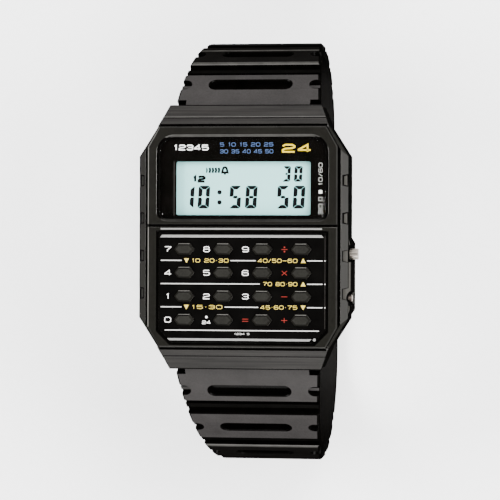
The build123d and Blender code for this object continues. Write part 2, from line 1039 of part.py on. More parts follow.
buckle_path = StrapPath(buckle_front_radius, buckle_back_radius, buckle_straight)
tail_start = StrapPath(tail_front_radius, buckle_back_radius, tail_straight)
tail_back_radius = tail_start.middle_z - buckle_path.low + tail_drop
tail_path = StrapPath(tail_front_radius, tail_back_radius, tail_straight)


def strap_front(path):
    """The first arc of a strap half, its two sides narrowed by flat cuts."""
    outer = path.arc(0, path.front_length, False)
    inner = path.arc(0, path.front_length, True)
    edges = [outer, Line(outer @ 1, inner @ 1), inner, Line(inner @ 0, outer @ 0)]
    front = extrude(Plane.YZ * make_face(edges), strap_half_width + cut_overrun, both=True)
    places = []
    for reach in (0, path.front_length / 2, path.front_length):
        y, z = path.point(reach, 0)
        places.append(Vector(path.half_width(reach), y, z))
    side = (places[1] - places[0]).cross(places[2] - places[0])
    if side.X < 0:
        side = side * -1
    flat = Plane(origin=places[1], z_dir=side)
    waste = flat * Box(
        cut_reach, cut_reach, cut_reach, align=(Align.CENTER, Align.CENTER, Align.MIN)
    )
    front = front - waste - mirror(waste, about=Plane.YZ)
    return chamfer(side_edges(front, path), strap_chamfer)


def strap_back(path):
    """The second arc and the straight of a strap half."""
    bend = path.front_length + path.back_length
    outer = path.arc(path.front_length, bend, False)
    inner = path.arc(path.front_length, bend, True)
    outer_end = path.point(path.length, 0)
    inner_end = path.point(path.length, end_thickness)
    edges = [
        outer,
        Line(outer @ 1, outer_end),
        Line(outer_end, inner_end),
        Line(inner_end, inner @ 1),
        inner,
        Line(inner @ 0, outer @ 0),
    ]
    back = extrude(Plane.YZ * make_face(edges), path.half_width(path.length), both=True)
    return chamfer(side_edges(back, path), strap_chamfer)


def side_edges(solid, path):
    """The long edges between a strap's outer face and its two sides."""
    found = []
    stops = [path.length * number / path_samples for number in range(path_samples + 1)]
    samples = [path.point(stop, 0) for stop in stops]
    for edge in solid.edges():
        middle = edge @ 0.5
        start = edge @ 0
        end = edge @ 1
        along = abs(start.X - end.X) < strap_half_width and abs(middle.X) > strap_half_width / 3
        nearest = min(math.hypot(middle.Y - y, middle.Z - z) for y, z in samples)
        long_enough = edge.length > 2 * end_thickness
        if along and long_enough and nearest < end_thickness / 8:
            found.append(edge)
    return found


def strap_groove():
    """The tool that cuts one cross groove, leaving a low ridge along its middle."""
    half = groove_length / 2
    mouth = half + mouth_chamfer
    profile = [
        (-mouth, cut_overrun),
        (-mouth, 0),
        (-half, -mouth_chamfer),
        (-half, -strap_groove_depth),
        (-ridge_half, -strap_groove_depth),
        (-ridge_half, ridge_height - strap_groove_depth),
        (ridge_half, ridge_height - strap_groove_depth),
        (ridge_half, -strap_groove_depth),
        (half, -strap_groove_depth),
        (half, -mouth_chamfer),
        (mouth, 0),
        (mouth, cut_overrun),
    ]
    return side_profile(profile, strap_half_width + cut_overrun)


def slot_tool(length):
    """The tool that cuts one round-ended recess with a bevelled mouth."""
    wide = SlotOverall(length + 2 * mouth_chamfer, slot_width + 2 * mouth_chamfer)
    narrow = SlotOverall(length, slot_width)
    mouth = loft([Pos(0, 0, -mouth_chamfer) * narrow, wide])
    recess = extrude(Pos(0, 0, -slot_depth) * narrow, slot_depth)
    return recess + mouth + extrude(wide, cut_overrun)


def edge_tool():
    """The tool that cuts one round-ended pocket in a strap's edge, with a ridge in its floor."""
    pocket = extrude(Pos(0, 0, -slot_depth) * SlotOverall(2 * edge_pocket, slot_width), slot_depth)
    pocket += extrude(SlotOverall(2 * edge_pocket, slot_width), cut_overrun)
    return pocket - block(
        -edge_pocket,
        edge_pocket,
        -pocket_ridge_half,
        pocket_ridge_half,
        -slot_depth,
        ridge_height - slot_depth,
    )


def pad_reaches(faces):
    """Where each raised face's recess lies, the first one nearer to its groove."""
    pitch = face_length + groove_length
    later = [first_groove + groove_length + face_length / 2 + pitch * n for n in range(faces - 1)]
    return [first_slot] + later


def strap_body(path, faces):
    """One strap half at the twelve o'clock side, with its grooves, recesses and edge pockets."""
    body = strap_front(path) + strap_back(path)
    lug_half = barrel_half_length
    root = path.plane(shoulder_reach)
    depth = root_thickness + cut_overrun
    tool = root * Pos(lug_half + cut_reach / 2, -cut_reach / 2, 0)
    waste = tool * Box(cut_reach, cut_reach, 2 * depth)
    waste = waste & block(0, cut_reach, bar_y - depth, cut_reach, -cut_reach, cut_reach)
    body = body - waste - mirror(waste, about=Plane.YZ)
    body += rod(barrel_radius, -lug_half, lug_half, bar_y, bar_height)
    pitch = face_length + groove_length
    for number in range(faces):
        middle = first_groove + groove_length / 2 + pitch * number
        body -= path.plane(middle) * strap_groove()
    for reach in pad_reaches(faces):
        half = path.half_width(reach)
        frame = path.plane(reach)
        body -= frame * slot_tool(2 * (half - slot_margin))
        pocket = frame * Pos(half, 0, 0) * edge_tool()
        body = body - pocket - mirror(pocket, about=Plane.YZ)
    bar_hole = rod(
        bar_radius + running_gap, -case_half_width, case_half_width, bar_y, bar_height
    )
    return body - bar_hole


buckle_half_width = buckle_path.half_width(buckle_path.length)
pin_y, pin_z = buckle_path.point(buckle_path.length, end_thickness / 2)


def strap_upper():
    """The buckle half, with its end wrapped round the buckle's pin."""
    body = strap_body(buckle_path, buckle_faces)
    body += rod(end_barrel_radius, -buckle_half_width, buckle_half_width, pin_y, pin_z)
    body -= rod(pin_radius + running_gap, -case_half_width, case_half_width, pin_y, pin_z)
    return body - block(
        -tongue_slot_half,
        tongue_slot_half,
        pin_y - 2 * end_barrel_radius,
        pin_y + tongue_slot_length,
        pin_z - 2 * end_barrel_radius,
        pin_z + 2 * end_barrel_radius,
    )


def strap_lower():
    """The tail half, with its row of buckle holes and its rounded tip."""
    body = strap_body(tail_path, tail_faces)
    tip_y, tip_z = tail_path.point(tail_path.length, end_thickness / 2)
    corners = [
        edge
        for edge in body.edges().filter_by(Axis.Z)
        if abs((edge @ 0.5).Y - tip_y) < strap_chamfer / 2
    ]
    body = fillet(corners, tail_path.half_width(tail_path.length) - tail_tip_flat)
    for number in range(hole_count):
        y = tip_y + first_hole + hole_pitch * number
        hole = extrude(
            Pos(0, y, tip_z) * RectangleRounded(hole_width, hole_length, hole_corner),
            end_thickness,
            both=True,
        )
        body -= hole
    return mirror(body, about=Plane.XZ)


frame_inner = buckle_half_width + cheek_gap
frame_outer = frame_inner + frame_arm
frame_low = pin_z - frame_height / 2
frame_tip = pin_y - frame_reach


def buckle_frame():
    """The steel buckle: a bar and two arms, drilled for the pin."""
    length = frame_reach + frame_back
    middle_y = pin_y + (frame_back - frame_reach) / 2
    outer = RectangleRounded(2 * frame_outer, length, frame_corner)
    frame = extrude(Pos(0, middle_y, frame_low) * outer, frame_height)
    edges = frame.faces().sort_by(Axis.Z)[-1].edges() + frame.faces().sort_by(Axis.Z)[0].edges()
    frame = chamfer(edges, frame_edge)
    frame -= block(
        -frame_inner,
        frame_inner,
        frame_tip + frame_bar,
        pin_y + frame_reach,
        frame_low - cut_overrun,
        frame_low + frame_height + cut_overrun,
    )
    return frame - rod(pin_radius + running_gap / 2, -frame_outer, frame_outer, pin_y, pin_z)


def buckle_pin():
    """The pin through the buckle's arms and the strap's end."""
    half = frame_outer - frame_edge / 2
    return rod(pin_radius, -half, half, pin_y, pin_z)


def buckle_tongue():
    """The steel tongue, curled round the pin and resting across the buckle's bar."""
    ring_low = pin_z - tongue_ring_radius
    under_bar = frame_low - running_gap
    bar_inner = frame_tip + frame_bar
    profile = [
        (pin_y, ring_low),
        (frame_tip, under_bar - tongue_thickness),
        (frame_tip - tongue_overhang, under_bar - tongue_tip_height),
        (frame_tip - tongue_overhang, under_bar),
        (bar_inner + tongue_overhang, under_bar),
        (pin_y, ring_low + tongue_thickness),
    ]
    ring = rod(tongue_ring_radius, -tongue_half_width, tongue_half_width, pin_y, pin_z)
    tongue = side_profile(profile, tongue_half_width) + ring
    return tongue - rod(
        pin_radius + running_gap, -tongue_slot_half, tongue_slot_half, pin_y, pin_z
    )


keeper_y = pin_y + keeper_reach


def strap_keeper():
    """The loop on the buckle half that holds the tail down."""
    top = buckle_path.low + end_thickness + keeper_rest_gap
    inner_half = buckle_half_width + keeper_side_gap
    middle_z = top - keeper_room / 2
    outer = RectangleRounded(
        2 * (inner_half + keeper_wall), keeper_room + 2 * keeper_wall, keeper_corner + keeper_wall / 2
    )
    inner = RectangleRounded(2 * inner_half, keeper_room, keeper_corner / 2)
    ring = Pos(0, keeper_y, middle_z) * Rot(90, 0, 0) * (outer - inner)
    return extrude(ring, keeper_width / 2, both=True)


def circuit_board():
    """The printed board, as wide as the hollow in front of the screw bosses."""
    return slab(cavity_outline(-module_gap), board_low, board_top)


def chip():
    """The chip under its drop of black resin, between the display's contact strips."""
    middle = (window_low + window_high) / 2
    outlines = [
        [(x, middle + y) for x, y in four_ways(chip_half_width - inset, chip_half_length - inset)]
        for inset in (0, chip_thickness)
    ]
    return sloped(outlines[0], board_top, outlines[1], board_top + chip_thickness)


def quartz_crystal():
    """The crystal's round can, lying against the back of the board."""
    can = Pos(crystal_x, crystal_y, board_low - crystal_radius) * Rot(90, 0, 0)
    return can * Cylinder(crystal_radius, crystal_length)


def buzzer_disc():
    """The sounder on the inside of the case back: a brass disc with its ceramic face."""
    face = buzzer_top - buzzer_element
    disc = post(buzzer_radius, 0, -buzzer_drop, back_thickness, face)
    return disc + post(buzzer_element_radius, 0, -buzzer_drop, face, buzzer_top)


def buzzer_spring():
    """The coil that joins the board to the sounder."""
    floor = buzzer_top - buzzer_element
    length = board_low - floor
    place = Pos(buzzer_spring_x, buzzer_spring_y, floor)
    return place * coil(buzzer_coil_radius, buzzer_wire_radius, length, buzzer_turns)


save("case_shell", case_shell())
save("front_bezel", front_bezel())
save("display_glass", window_sheet(glass_seat, glass_face))
save("display_mask", display_mask())
save("keypad_plate", keypad_plate())
for key_name, key_x, key_y in key_places():
    save(key_name, key_piece(key_x, key_y))
save("contact_mat", contact_mat())
save("lcd_cell", lcd_cell())
save("zebra_strips", zebra_strips())
save("lcd_reflector", lcd_reflector())
save("module_frame", module_frame())
save("circuit_board", circuit_board())
save("chip", chip())
save("quartz_crystal", quartz_crystal())
save("side_contacts", side_contacts())
save("battery_holder", battery_holder())
save("battery", battery())
save("battery_clip", battery_clip())
save("buzzer_disc", buzzer_disc())
save("buzzer_spring", buzzer_spring())
save("back_gasket", gasket_ring(0))
save("case_back", back_plate())
save("back_screws", back_screws())
save("mode_pusher", mode.piece(mode_ridges))
save("mode_pusher_seal", mode.seal(seal_wire))
save("mode_pusher_clip", mode.clip())
save("mode_pusher_spring", mode.spring(coil_turns))
save("adjust_pusher", adjust.piece(0))
save("adjust_pusher_seal", adjust.seal(adjust_seal_wire))
save("adjust_pusher_clip", adjust.clip())
save("adjust_pusher_spring", adjust.spring(adjust_coil_turns))
save("spring_bar_upper", spring_bar())
save("spring_bar_lower", mirror(spring_bar(), about=Plane.XZ))
save("strap_upper", strap_upper())
save("strap_lower", strap_lower())
save("strap_keeper", strap_keeper())
save("buckle_frame", buckle_frame())
save("buckle_pin", buckle_pin())
save("buckle_tongue", buckle_tongue())
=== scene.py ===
# %% [markdown]
# # A calculator watch, dressed for its portrait
#
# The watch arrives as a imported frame: a resin case, a window over a keypad, sixteen keys, two side
# pushers, a strap in two halves and the movement inside. Every part is at its real size and place, so
# nothing here moves or resizes one. This lesson gives each part its finish, softens the hard edges of
# the moulded parts, and adds what the frame leaves out: the figures on the display and the printing.
#
# The dial faces +Z, twelve o'clock is +Y and three o'clock is +X. Blender works in metres.

# %% Load the watch
import json
import math

import bmesh
import bpy
from mathutils import Matrix, Vector


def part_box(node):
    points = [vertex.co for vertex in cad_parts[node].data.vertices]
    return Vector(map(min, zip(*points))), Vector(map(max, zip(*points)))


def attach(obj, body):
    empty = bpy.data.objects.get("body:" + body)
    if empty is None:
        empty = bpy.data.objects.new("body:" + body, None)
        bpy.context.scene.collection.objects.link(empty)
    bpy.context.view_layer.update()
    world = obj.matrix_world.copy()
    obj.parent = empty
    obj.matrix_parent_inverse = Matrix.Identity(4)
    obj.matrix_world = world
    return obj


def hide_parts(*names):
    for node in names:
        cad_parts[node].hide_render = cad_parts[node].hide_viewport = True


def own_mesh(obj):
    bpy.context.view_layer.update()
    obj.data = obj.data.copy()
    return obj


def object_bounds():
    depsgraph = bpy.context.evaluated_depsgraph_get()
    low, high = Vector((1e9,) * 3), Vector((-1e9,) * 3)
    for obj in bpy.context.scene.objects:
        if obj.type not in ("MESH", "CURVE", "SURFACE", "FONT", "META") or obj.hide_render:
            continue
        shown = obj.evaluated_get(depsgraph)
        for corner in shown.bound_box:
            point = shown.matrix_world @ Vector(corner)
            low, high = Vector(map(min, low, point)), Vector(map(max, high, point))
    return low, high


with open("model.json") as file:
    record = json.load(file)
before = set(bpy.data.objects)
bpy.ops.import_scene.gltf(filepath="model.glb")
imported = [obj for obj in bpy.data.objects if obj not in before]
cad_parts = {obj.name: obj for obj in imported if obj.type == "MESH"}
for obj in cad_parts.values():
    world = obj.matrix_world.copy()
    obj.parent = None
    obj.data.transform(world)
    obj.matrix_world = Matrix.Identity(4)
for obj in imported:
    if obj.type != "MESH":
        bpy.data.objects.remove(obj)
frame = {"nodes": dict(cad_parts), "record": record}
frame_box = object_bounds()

mm = 0.001
nodes = frame["nodes"]
body_of_node = {
    name: body for body, names in frame["record"]["behaviour"]["bodies"].items() for name in names
}
slot_of_node = {row["node"]: row["material_slot"] for row in frame["record"]["subparts"]}
add_to_scene = bpy.context.scene.collection.objects.link

# %% [markdown]
# ## The camera
#
# The photograph looks almost straight down on the dial, from a little towards three o'clock, through a
# long lens. A long lens keeps the near and the far end of the strap at nearly one scale. The camera is
# placed from four sizes: how far it leans, how far off it stands, how wide the picture is there, and
# how far the dial's centre lies from the picture's centre.

# %% Camera
camera_lean = math.radians(9.5)
camera_roll = math.radians(0.2)
camera_distance = 462 * mm
picture_width = 81.0 * mm
aim_right = 1.33 * mm
aim_down = 2.1 * mm

dial_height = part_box("front_bezel")[1].z
towards_camera = Vector((math.sin(camera_lean), 0, math.cos(camera_lean)))
picture_right = Vector((math.cos(camera_lean), 0, -math.sin(camera_lean)))
picture_up = Vector((0, 1, 0))

lens = bpy.data.cameras.new("portrait_lens")
lens.sensor_width = 36
lens.lens = lens.sensor_width * camera_distance / picture_width
lens.clip_start = 10 * mm
lens.clip_end = 20
camera = bpy.data.objects.new("portrait_camera", lens)
add_to_scene(camera)
aim = Vector((0, 0, dial_height)) + picture_right * aim_right - picture_up * aim_down
facing = Matrix((picture_right, picture_up, towards_camera)).transposed()
turn = (facing @ Matrix.Rotation(camera_roll, 3, "Z")).to_4x4()
camera.matrix_world = Matrix.Translation(aim + towards_camera * camera_distance) @ turn
bpy.context.scene.camera = camera
print("lens", round(lens.lens, 1), "mm")

# %% [markdown]
# ## Floor and light
#
# Black resin shows its shape only by what it reflects. Wide soft lamps stand round the watch, each
# given by its clock direction, its height above the dial as an angle, its two sizes and its power. The
# window is a flat mirror and sends the camera what is nearly straight above, so no lamp hangs there.
# The low lamps beyond the strap ends draw a bright line along every edge that runs across the watch.

# %% Floor and lamps
floor_size = 3.0
floor_gap = 0.05 * mm
lamp_distance = 0.9
lamp_centre = Vector((0, 0, dial_height))
room_colour = (0.9, 0.92, 0.95, 1)
room_strength = 0.22
lamps = {
    "twelve": (12, 17, 0.6, 0.3, 7),
    "six": (6, 12, 0.6, 0.25, 11),
    "six_high": (5.6, 50, 0.5, 0.5, 12),
    "three": (3, 44, 0.5, 0.5, 17),
    "nine": (9.2, 44, 0.5, 0.5, 17),
    "two": (1.2, 54, 0.4, 0.4, 12),
}


def add_lamp(name, clock, height, wide, tall, power):
    """A rectangular soft lamp that looks at the dial."""
    around = math.radians(90 - 30 * clock)
    lift = math.radians(height)
    level = math.cos(lift)
    direction = Vector((math.cos(around) * level, math.sin(around) * level, math.sin(lift)))
    light = bpy.data.lights.new("lamp_" + name, "AREA")
    light.shape = "RECTANGLE"
    light.size = wide
    light.size_y = tall
    light.energy = power
    lamp = bpy.data.objects.new("lamp_" + name, light)
    lamp.location = lamp_centre + direction * lamp_distance
    lamp.rotation_euler = (-direction).to_track_quat("-Z", "Y").to_euler()
    add_to_scene(lamp)


for lamp_name, settings in lamps.items():
    add_lamp(lamp_name, *settings)

floor_mesh = bmesh.new()
floor_place = Matrix.Translation((0, 0, frame_box[0][2] - floor_gap))
bmesh.ops.create_grid(floor_mesh, x_segments=1, y_segments=1, size=floor_size / 2, matrix=floor_place)
floor_data = bpy.data.meshes.new("floor")
floor_mesh.to_mesh(floor_data)
floor_mesh.free()
floor = bpy.data.objects.new("floor", floor_data)
add_to_scene(floor)

world = bpy.data.worlds.new("pale_room")
world.use_nodes = True
background = world.node_tree.nodes["Background"]
background.inputs["Color"].default_value = room_colour
background.inputs["Strength"].default_value = room_strength
bpy.context.scene.world = world
print("lamps", len(lamps))

# %% [markdown]
# ## Finishes as sums
#
# A finish is a small calculation: a base value plus a share of some grain. Blender holds it as nodes
# and links, which are slow to write. So one class stands for a value that changes over the surface, and
# plain sums and products of it make the Math nodes. A second class makes any other node in one call.

# %% Signals and recipes
class Signal:
    """A value that changes over a surface. Sums and products of signals add Math nodes."""

    def __init__(self, recipe, socket):
        self.recipe = recipe
        self.socket = socket

    def math(self, operation, first, second):
        return self.recipe.add("Math", {"operation": operation}, {0: first, 1: second})

    def __add__(self, other):
        return self.math("ADD", self, other)

    def __sub__(self, other):
        return self.math("SUBTRACT", self, other)

    def __rsub__(self, other):
        return self.math("SUBTRACT", other, self)

    def __mul__(self, other):
        return self.math("MULTIPLY", self, other)

    def clear(self, low, high):
        """The signal spread so that low becomes 0 and high becomes 1."""
        values = {"Value": self, "From Min": low, "From Max": high}
        return self.recipe.add("MapRange", {"clamp": True}, values)

    __radd__ = __add__
    __rmul__ = __mul__


mirror_gray = (0.9, 0.885, 0.86, 1)


class Recipe:
    """One finish: a material whose nodes are added one call at a time."""

    def __init__(self, name):
        self.material = bpy.data.materials.new(name)
        self.material.use_nodes = True
        self.tree = self.material.node_tree
        self.tree.nodes.clear()
        self.place = None

    def add(self, kind, settings=None, values=None, output=0):
        """A node of a kind, its settings made first, then its values and links."""
        node = self.tree.nodes.new("ShaderNode" + kind)
        for key, value in (settings or {}).items():
            setattr(node, key, value)
        for key, value in (values or {}).items():
            if isinstance(value, Signal):
                self.tree.links.new(value.socket, node.inputs[key])
            else:
                node.inputs[key].default_value = value
        return Signal(self, node.outputs[output]) if len(node.outputs) else None

    def where(self):
        """The place on the piece, in metres."""
        if self.place is None:
            self.place = self.add("TexCoord", output="Object")
        return self.place

    def stretched(self, x, y, z):
        """The place, with each direction scaled, for grain that runs one way."""
        return self.add("Mapping", {}, {"Vector": self.where(), "Scale": (x, y, z)})

    def grain(self, scale, detail=2.0, place=None):
        """Soft noise, with about so many lumps in a metre."""
        values = {"Vector": place or self.where(), "Scale": scale, "Detail": detail}
        return self.add("TexNoise", {}, values)

    def blend(self, share, first, second):
        """A colour between two, by a share."""
        values = {0: share, 6: (*first, 1), 7: (*second, 1)}
        return self.add("Mix", {"data_type": "RGBA"}, values, output=2)

    def bump(self, height, strength, distance):
        values = {"Height": height, "Strength": strength, "Distance": distance}
        return self.add("Bump", {}, values)

    def surface(self, **values):
        """The main shader, with its values given by their names in plain words."""
        named = {key.replace("_", " ").title().replace("Ior", "IOR"): v for key, v in values.items()}
        return self.add("BsdfPrincipled", {}, named)

    def toned(self, share, colour, lighter, rough, bump, **more):
        """The main shader in a colour between two tones."""
        between = self.blend(share, colour, lighter)
        return self.surface(base_color=between, roughness=rough, normal=bump, **more)

    def sheen_over(self, body, gloss, rough, bump):
        """A mirror share over a body that fades where the surface is seen at a slant."""
        slant = self.add("LayerWeight", {}, {"Blend": 0.5}, output=1)
        mirror = self.surface(base_color=mirror_gray, metallic=1.0, roughness=rough, normal=bump)
        share = gloss * (1 - slant) * (1 - slant)
        return self.add("MixShader", {}, {0: share, 1: body, 2: mirror})

    def finish(self, shader):
        """Joins the shader to the output and hands over the material."""
        self.add("OutputMaterial", {}, {"Surface": shader})
        return self.material


# %% [markdown]
# ## Moulded resin
#
# The case and strap are one black resin. The faces that a finger meets carry a fine matt spark texture
# and look dark gray, with a slight brown cast. The grooves, recesses and flanks are polished in the
# mould and look black, and their black is deepened as painted shade. Edges are softened, and the light
# they catch is painted on them as highlights, some brighter and some dimmer. Far strap faces are
# painted darker as shade, and the notch floors on the right lighter as painted light. So each moulded
# part takes up to seven of these finishes, chosen face by face. A finish has two tones that a grain
# runs between, a share of mirror and a roughness.

# %% Resin finishes
def satin_resin(name, colour, lighter, gloss, rough, brushed_share=0.0):
    """Matt moulded resin: a fine spark texture with slow changes of tone, and some fine lines."""
    mix = Recipe(name)
    slow = mix.grain(260, 2.0)
    fine = mix.grain(3600, 3.0)
    tone = 0.5 * slow + 0.5 * fine
    if brushed_share:
        lines = mix.grain(2300, 2.0, mix.stretched(0.03, 1, 1))
        tone = (1 - brushed_share) * tone + brushed_share * lines
    bump = mix.bump(fine, 0.22, 0.03 * mm)
    body = mix.toned(tone.clear(0.3, 0.7), colour, lighter, 0.9, bump, specular_ior_level=0.0)
    return mix.finish(mix.sheen_over(body, gloss, rough + 0.16 * (fine - 0.5), bump))


def gloss_resin(name, colour, lighter, gloss, rough):
    """Resin from a polished part of the mould, with faint flow marks."""
    mix = Recipe(name)
    slow = mix.grain(420, 3.0)
    bump = mix.bump(mix.grain(900, 2.0), 0.05, 0.05 * mm)
    body = mix.toned(slow.clear(0.35, 0.65), colour, lighter, 0.8, bump, specular_ior_level=0.0)
    return mix.finish(mix.sheen_over(body, gloss, rough + 0.12 * (slow - 0.5), bump))


case_satin = satin_resin("case_satin", (0.0034, 0.0032, 0.0026), (0.0058, 0.0055, 0.0046), 0.0115, 0.45)
cover_satin = satin_resin(
    "cover_satin", (0.0015, 0.0013, 0.0012), (0.0098, 0.009, 0.0082), 0.015, 0.45, brushed_share=0.8
)
# Painted light: the notch floors on the right take this lighter satin.
notch_painted_light = satin_resin("notch_painted_light", (0.022, 0.021, 0.0185), (0.03, 0.0285, 0.025), 0.02, 0.4)
bezel_satin = satin_resin("bezel_satin", (0.002, 0.0019, 0.0014), (0.0037, 0.0035, 0.0026), 0.0062, 0.4)
strap_satin = satin_resin("strap_satin", (0.0118, 0.011, 0.0106), (0.0195, 0.018, 0.0177), 0.009, 0.5)
strap_lining = satin_resin("strap_lining", (0.001, 0.0009, 0.0008), (0.002, 0.0018, 0.0017), 0.007, 0.45)
# Painted shade: the far raised strap faces round the wrist take this darker satin.
strap_painted_shade = satin_resin("strap_painted_shade", (0.0012, 0.0011, 0.001), (0.0024, 0.0022, 0.002), 0.005, 0.5)
# Black gloss of the polished faces, also used as painted shade in grooves, recesses, seams and margins.
gloss_and_painted_shade = gloss_resin("gloss_and_painted_shade", (0.0004, 0.0004, 0.0003), (0.0008, 0.0007, 0.0006), 0.003, 0.2)
# Gloss for sides and undersides; its near-black body is partly painted shade where no light falls.
flank_gloss_and_painted_shade = gloss_resin("flank_gloss_and_painted_shade", (0.0006, 0.0006, 0.0005), (0.0011, 0.001, 0.0009), 0.035, 0.3)
# Painted highlights: the next five lighter finishes go where edges, chamfers and strips catch light.
edge_painted_highlight = gloss_resin("edge_painted_highlight", (0.012, 0.0115, 0.01), (0.02, 0.019, 0.017), 0.13, 0.28)
bright_painted_highlight = gloss_resin("bright_painted_highlight", (0.05, 0.048, 0.043), (0.066, 0.063, 0.057), 0.09, 0.4)
soft_painted_highlight = gloss_resin("soft_painted_highlight", (0.016, 0.0153, 0.014), (0.024, 0.023, 0.021), 0.03, 0.45)
dim_painted_highlight = gloss_resin("dim_painted_highlight", (0.005, 0.0048, 0.0042), (0.008, 0.0077, 0.0068), 0.02, 0.35)
bezel_painted_highlight = gloss_resin("bezel_painted_highlight", (0.015, 0.0145, 0.013), (0.023, 0.022, 0.02), 0.03, 0.45)
print("finishes so far", len(bpy.data.materials))

# %% [markdown]
# ## Softening the edges
#
# The frame's meshes are loose triangles with knife edges, and no real edge is that sharp. A copy is
# merged, its flat areas are dissolved back into single faces, and the edges that turn more than a set
# angle are bevelled by a tenth of a millimetre or so. Planes can cut it first, where a finish ends in
# the middle of a face. Each face asks a function for its finish, and the faces that the bevel makes ask
# a second one, so they can take painted highlights and painted shade of their own. Weighted normals keep
# the large faces flat. From here on a plain size is in millimetres, and it is turned into metres where
# Blender gets it.

# %% Rounded copies
weld_distance = 0.0005 * mm
cut_slack = 0.0001 * mm
flat_turn = math.radians(0.6)
shade_angle = math.radians(35)
flats_weight = 60
along_x = Vector((1, 0, 0))
along_y = Vector((0, 1, 0))
along_z = Vector((0, 0, 1))


def merged_copy(node):
    """A copy of a frame mesh, its loose triangles joined."""
    bm = bmesh.new()
    bm.from_mesh(nodes[node].data)
    bmesh.ops.remove_doubles(bm, verts=bm.verts, dist=weld_distance)
    return bm


def planes(way, *places):
    """Planes across a direction, each as a point on it and that direction."""
    return [(way * (place * mm), way) for place in places]


def centre(face):
    """The middle of a face, in millimetres."""
    return face.calc_center_median() / mm


def finished_piece(bm, name, body, slot, *finishes):
    """Turns a bmesh into a piece that rides on a body."""
    data = bpy.data.meshes.new(name)
    bm.to_mesh(data)
    bm.free()
    for finish in finishes:
        data.materials.append(finish)
    piece = bpy.data.objects.new(name, data)
    add_to_scene(piece)
    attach(piece, body)
    print(name, "faces", len(data.polygons))
    return piece


def smooth_piece(bm, node, name, *finishes):
    """Turns a bmesh into the smooth piece that stands for a frame part."""
    for face in bm.faces:
        face.smooth = True
    piece = finished_piece(bm, name, body_of_node[node], slot_of_node[node], *finishes)
    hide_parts(node)
    return piece


def keep_flats(piece):
    """Marks the turns that stay sharp and lets the large faces set the shading."""
    piece.data.set_sharp_from_angle(angle=shade_angle)
    weigh = piece.modifiers.new("keep_flats", "WEIGHTED_NORMAL")
    weigh.keep_sharp = True
    weigh.weight = flats_weight


def bevel(bm, parts, width, segments=2, affect="EDGES", **more):
    """Bevels edges or corners, and hands over the faces that this makes."""
    made = bmesh.ops.bevel(
        bm, geom=parts, offset=width * mm, affect=affect, segments=segments, profile=0.5, material=-1, **more
    )
    return made["faces"]


def softened(node, width, finishes, choose=None, choose_edge=None, turn=28, cuts=(), prepare=None):
    """Replaces a node by a copy with soft edges, whose finish is the last unless it is chosen."""
    bm = merged_copy(node)
    bmesh.ops.dissolve_limit(
        bm, angle_limit=flat_turn, verts=bm.verts, edges=bm.edges, use_dissolve_boundaries=False
    )
    for place, way in cuts:
        whole = bm.verts[:] + bm.edges[:] + bm.faces[:]
        bmesh.ops.bisect_plane(bm, geom=whole, dist=cut_slack, plane_co=place, plane_no=way)
    bm.normal_update()
    for face in bm.faces:
        face.material_index = finishes.index(choose(face)) if choose else 0
    if prepare:
        prepare(bm)
    least = math.radians(turn)
    hard = [e for e in bm.edges if len(e.link_faces) == 2 and e.calc_face_angle(0.0) > least]
    made = bevel(bm, hard, width, offset_type="OFFSET", clamp_overlap=True, loop_slide=True)
    bm.normal_update()
    for face in made:
        face.material_index = finishes.index(choose_edge(face)) if choose_edge else len(finishes) - 1
    keep_flats(smooth_piece(bm, node, node + "_finished", *finishes))


def put_finish(material, *names):
    """Gives frame parts that keep their mesh one finish."""
    for name in names:
        nodes[name].data.materials.clear()
        nodes[name].data.materials.append(material)
    print(material.name, "on", *names)


# %% [markdown]
# ## The case
#
# On the case the finish follows the direction of each face. What looks up is spark textured: the shelf
# round the bezel and the two covers over the strap ends, whose texture is fine lines across the watch.
# What looks sideways or down is polished black, deepened as painted shade. So are the seat round the
# bezel, where the gap is painted as a dark line of shade, the guard beyond the shelf, and the covers'
# ends. The floors of the shelf's notches on the right carry painted light, brighter than those on the
# left. All have a black margin of painted shade, which an inset makes, narrower where a pusher's bore
# cuts the floor. Each cover has a small step with a painted dark line of shade along it, the far one a
# painted light line too, and the other edges carry painted highlights.

# %% Case
bezel_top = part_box("front_bezel")[1] / mm
guard_reach = 17.68
shelf_reach = 17.03
step_shade_start = 19.32
step_highlight_start = 19.5
step_highlight_end = 19.66
cover_end = 21.42
notch_inner = 16.2
notch_margin = 0.27
bored_margin = 0.1
bored_corners = 8
seam_width = 0.44
seam_reach = 0.2
seam_height = 7.2
case_softness = 0.11
upward = 0.35
flat = 0.99
cover_lines = [side * y for side in (-1, 1) for y in (step_shade_start, step_highlight_start, step_highlight_end, cover_end)]
case_cuts = planes(along_x, guard_reach, -shelf_reach) + planes(along_y, *cover_lines)
case_finishes = [case_satin, cover_satin, gloss_and_painted_shade, notch_painted_light, edge_painted_highlight, soft_painted_highlight, flank_gloss_and_painted_shade]


def case_face(face):
    """The finish of a face of the case, by its direction and place."""
    middle = centre(face)
    along = abs(middle.y)
    if face.normal.z < upward:
        return flank_gloss_and_painted_shade
    if along > cover_end or not -shelf_reach < middle.x < guard_reach:
        return gloss_and_painted_shade
    if face.normal.z > flat:
        # Painted light on the notch floors; the other level faces here take painted shade.
        return notch_painted_light if abs(middle.x) > notch_inner else gloss_and_painted_shade
    # A painted dark line of shade along each cover's step, then a painted highlight on the far one.
    if step_shade_start < along < step_highlight_start:
        return gloss_and_painted_shade
    if step_highlight_start < middle.y < step_highlight_end:
        return soft_painted_highlight
    return cover_satin if along > bezel_top.y else case_satin


def case_edge(face):
    """The shelf's outer edges, notches and covers' ends are black with painted shade; the others carry
    painted highlights.
    """
    middle = centre(face)
    if abs(middle.x) > notch_inner or face.normal.z < upward or abs(middle.y) > cover_end:
        return gloss_and_painted_shade
    return soft_painted_highlight if abs(middle.y) > bezel_top.y + seam_width / 2 else edge_painted_highlight


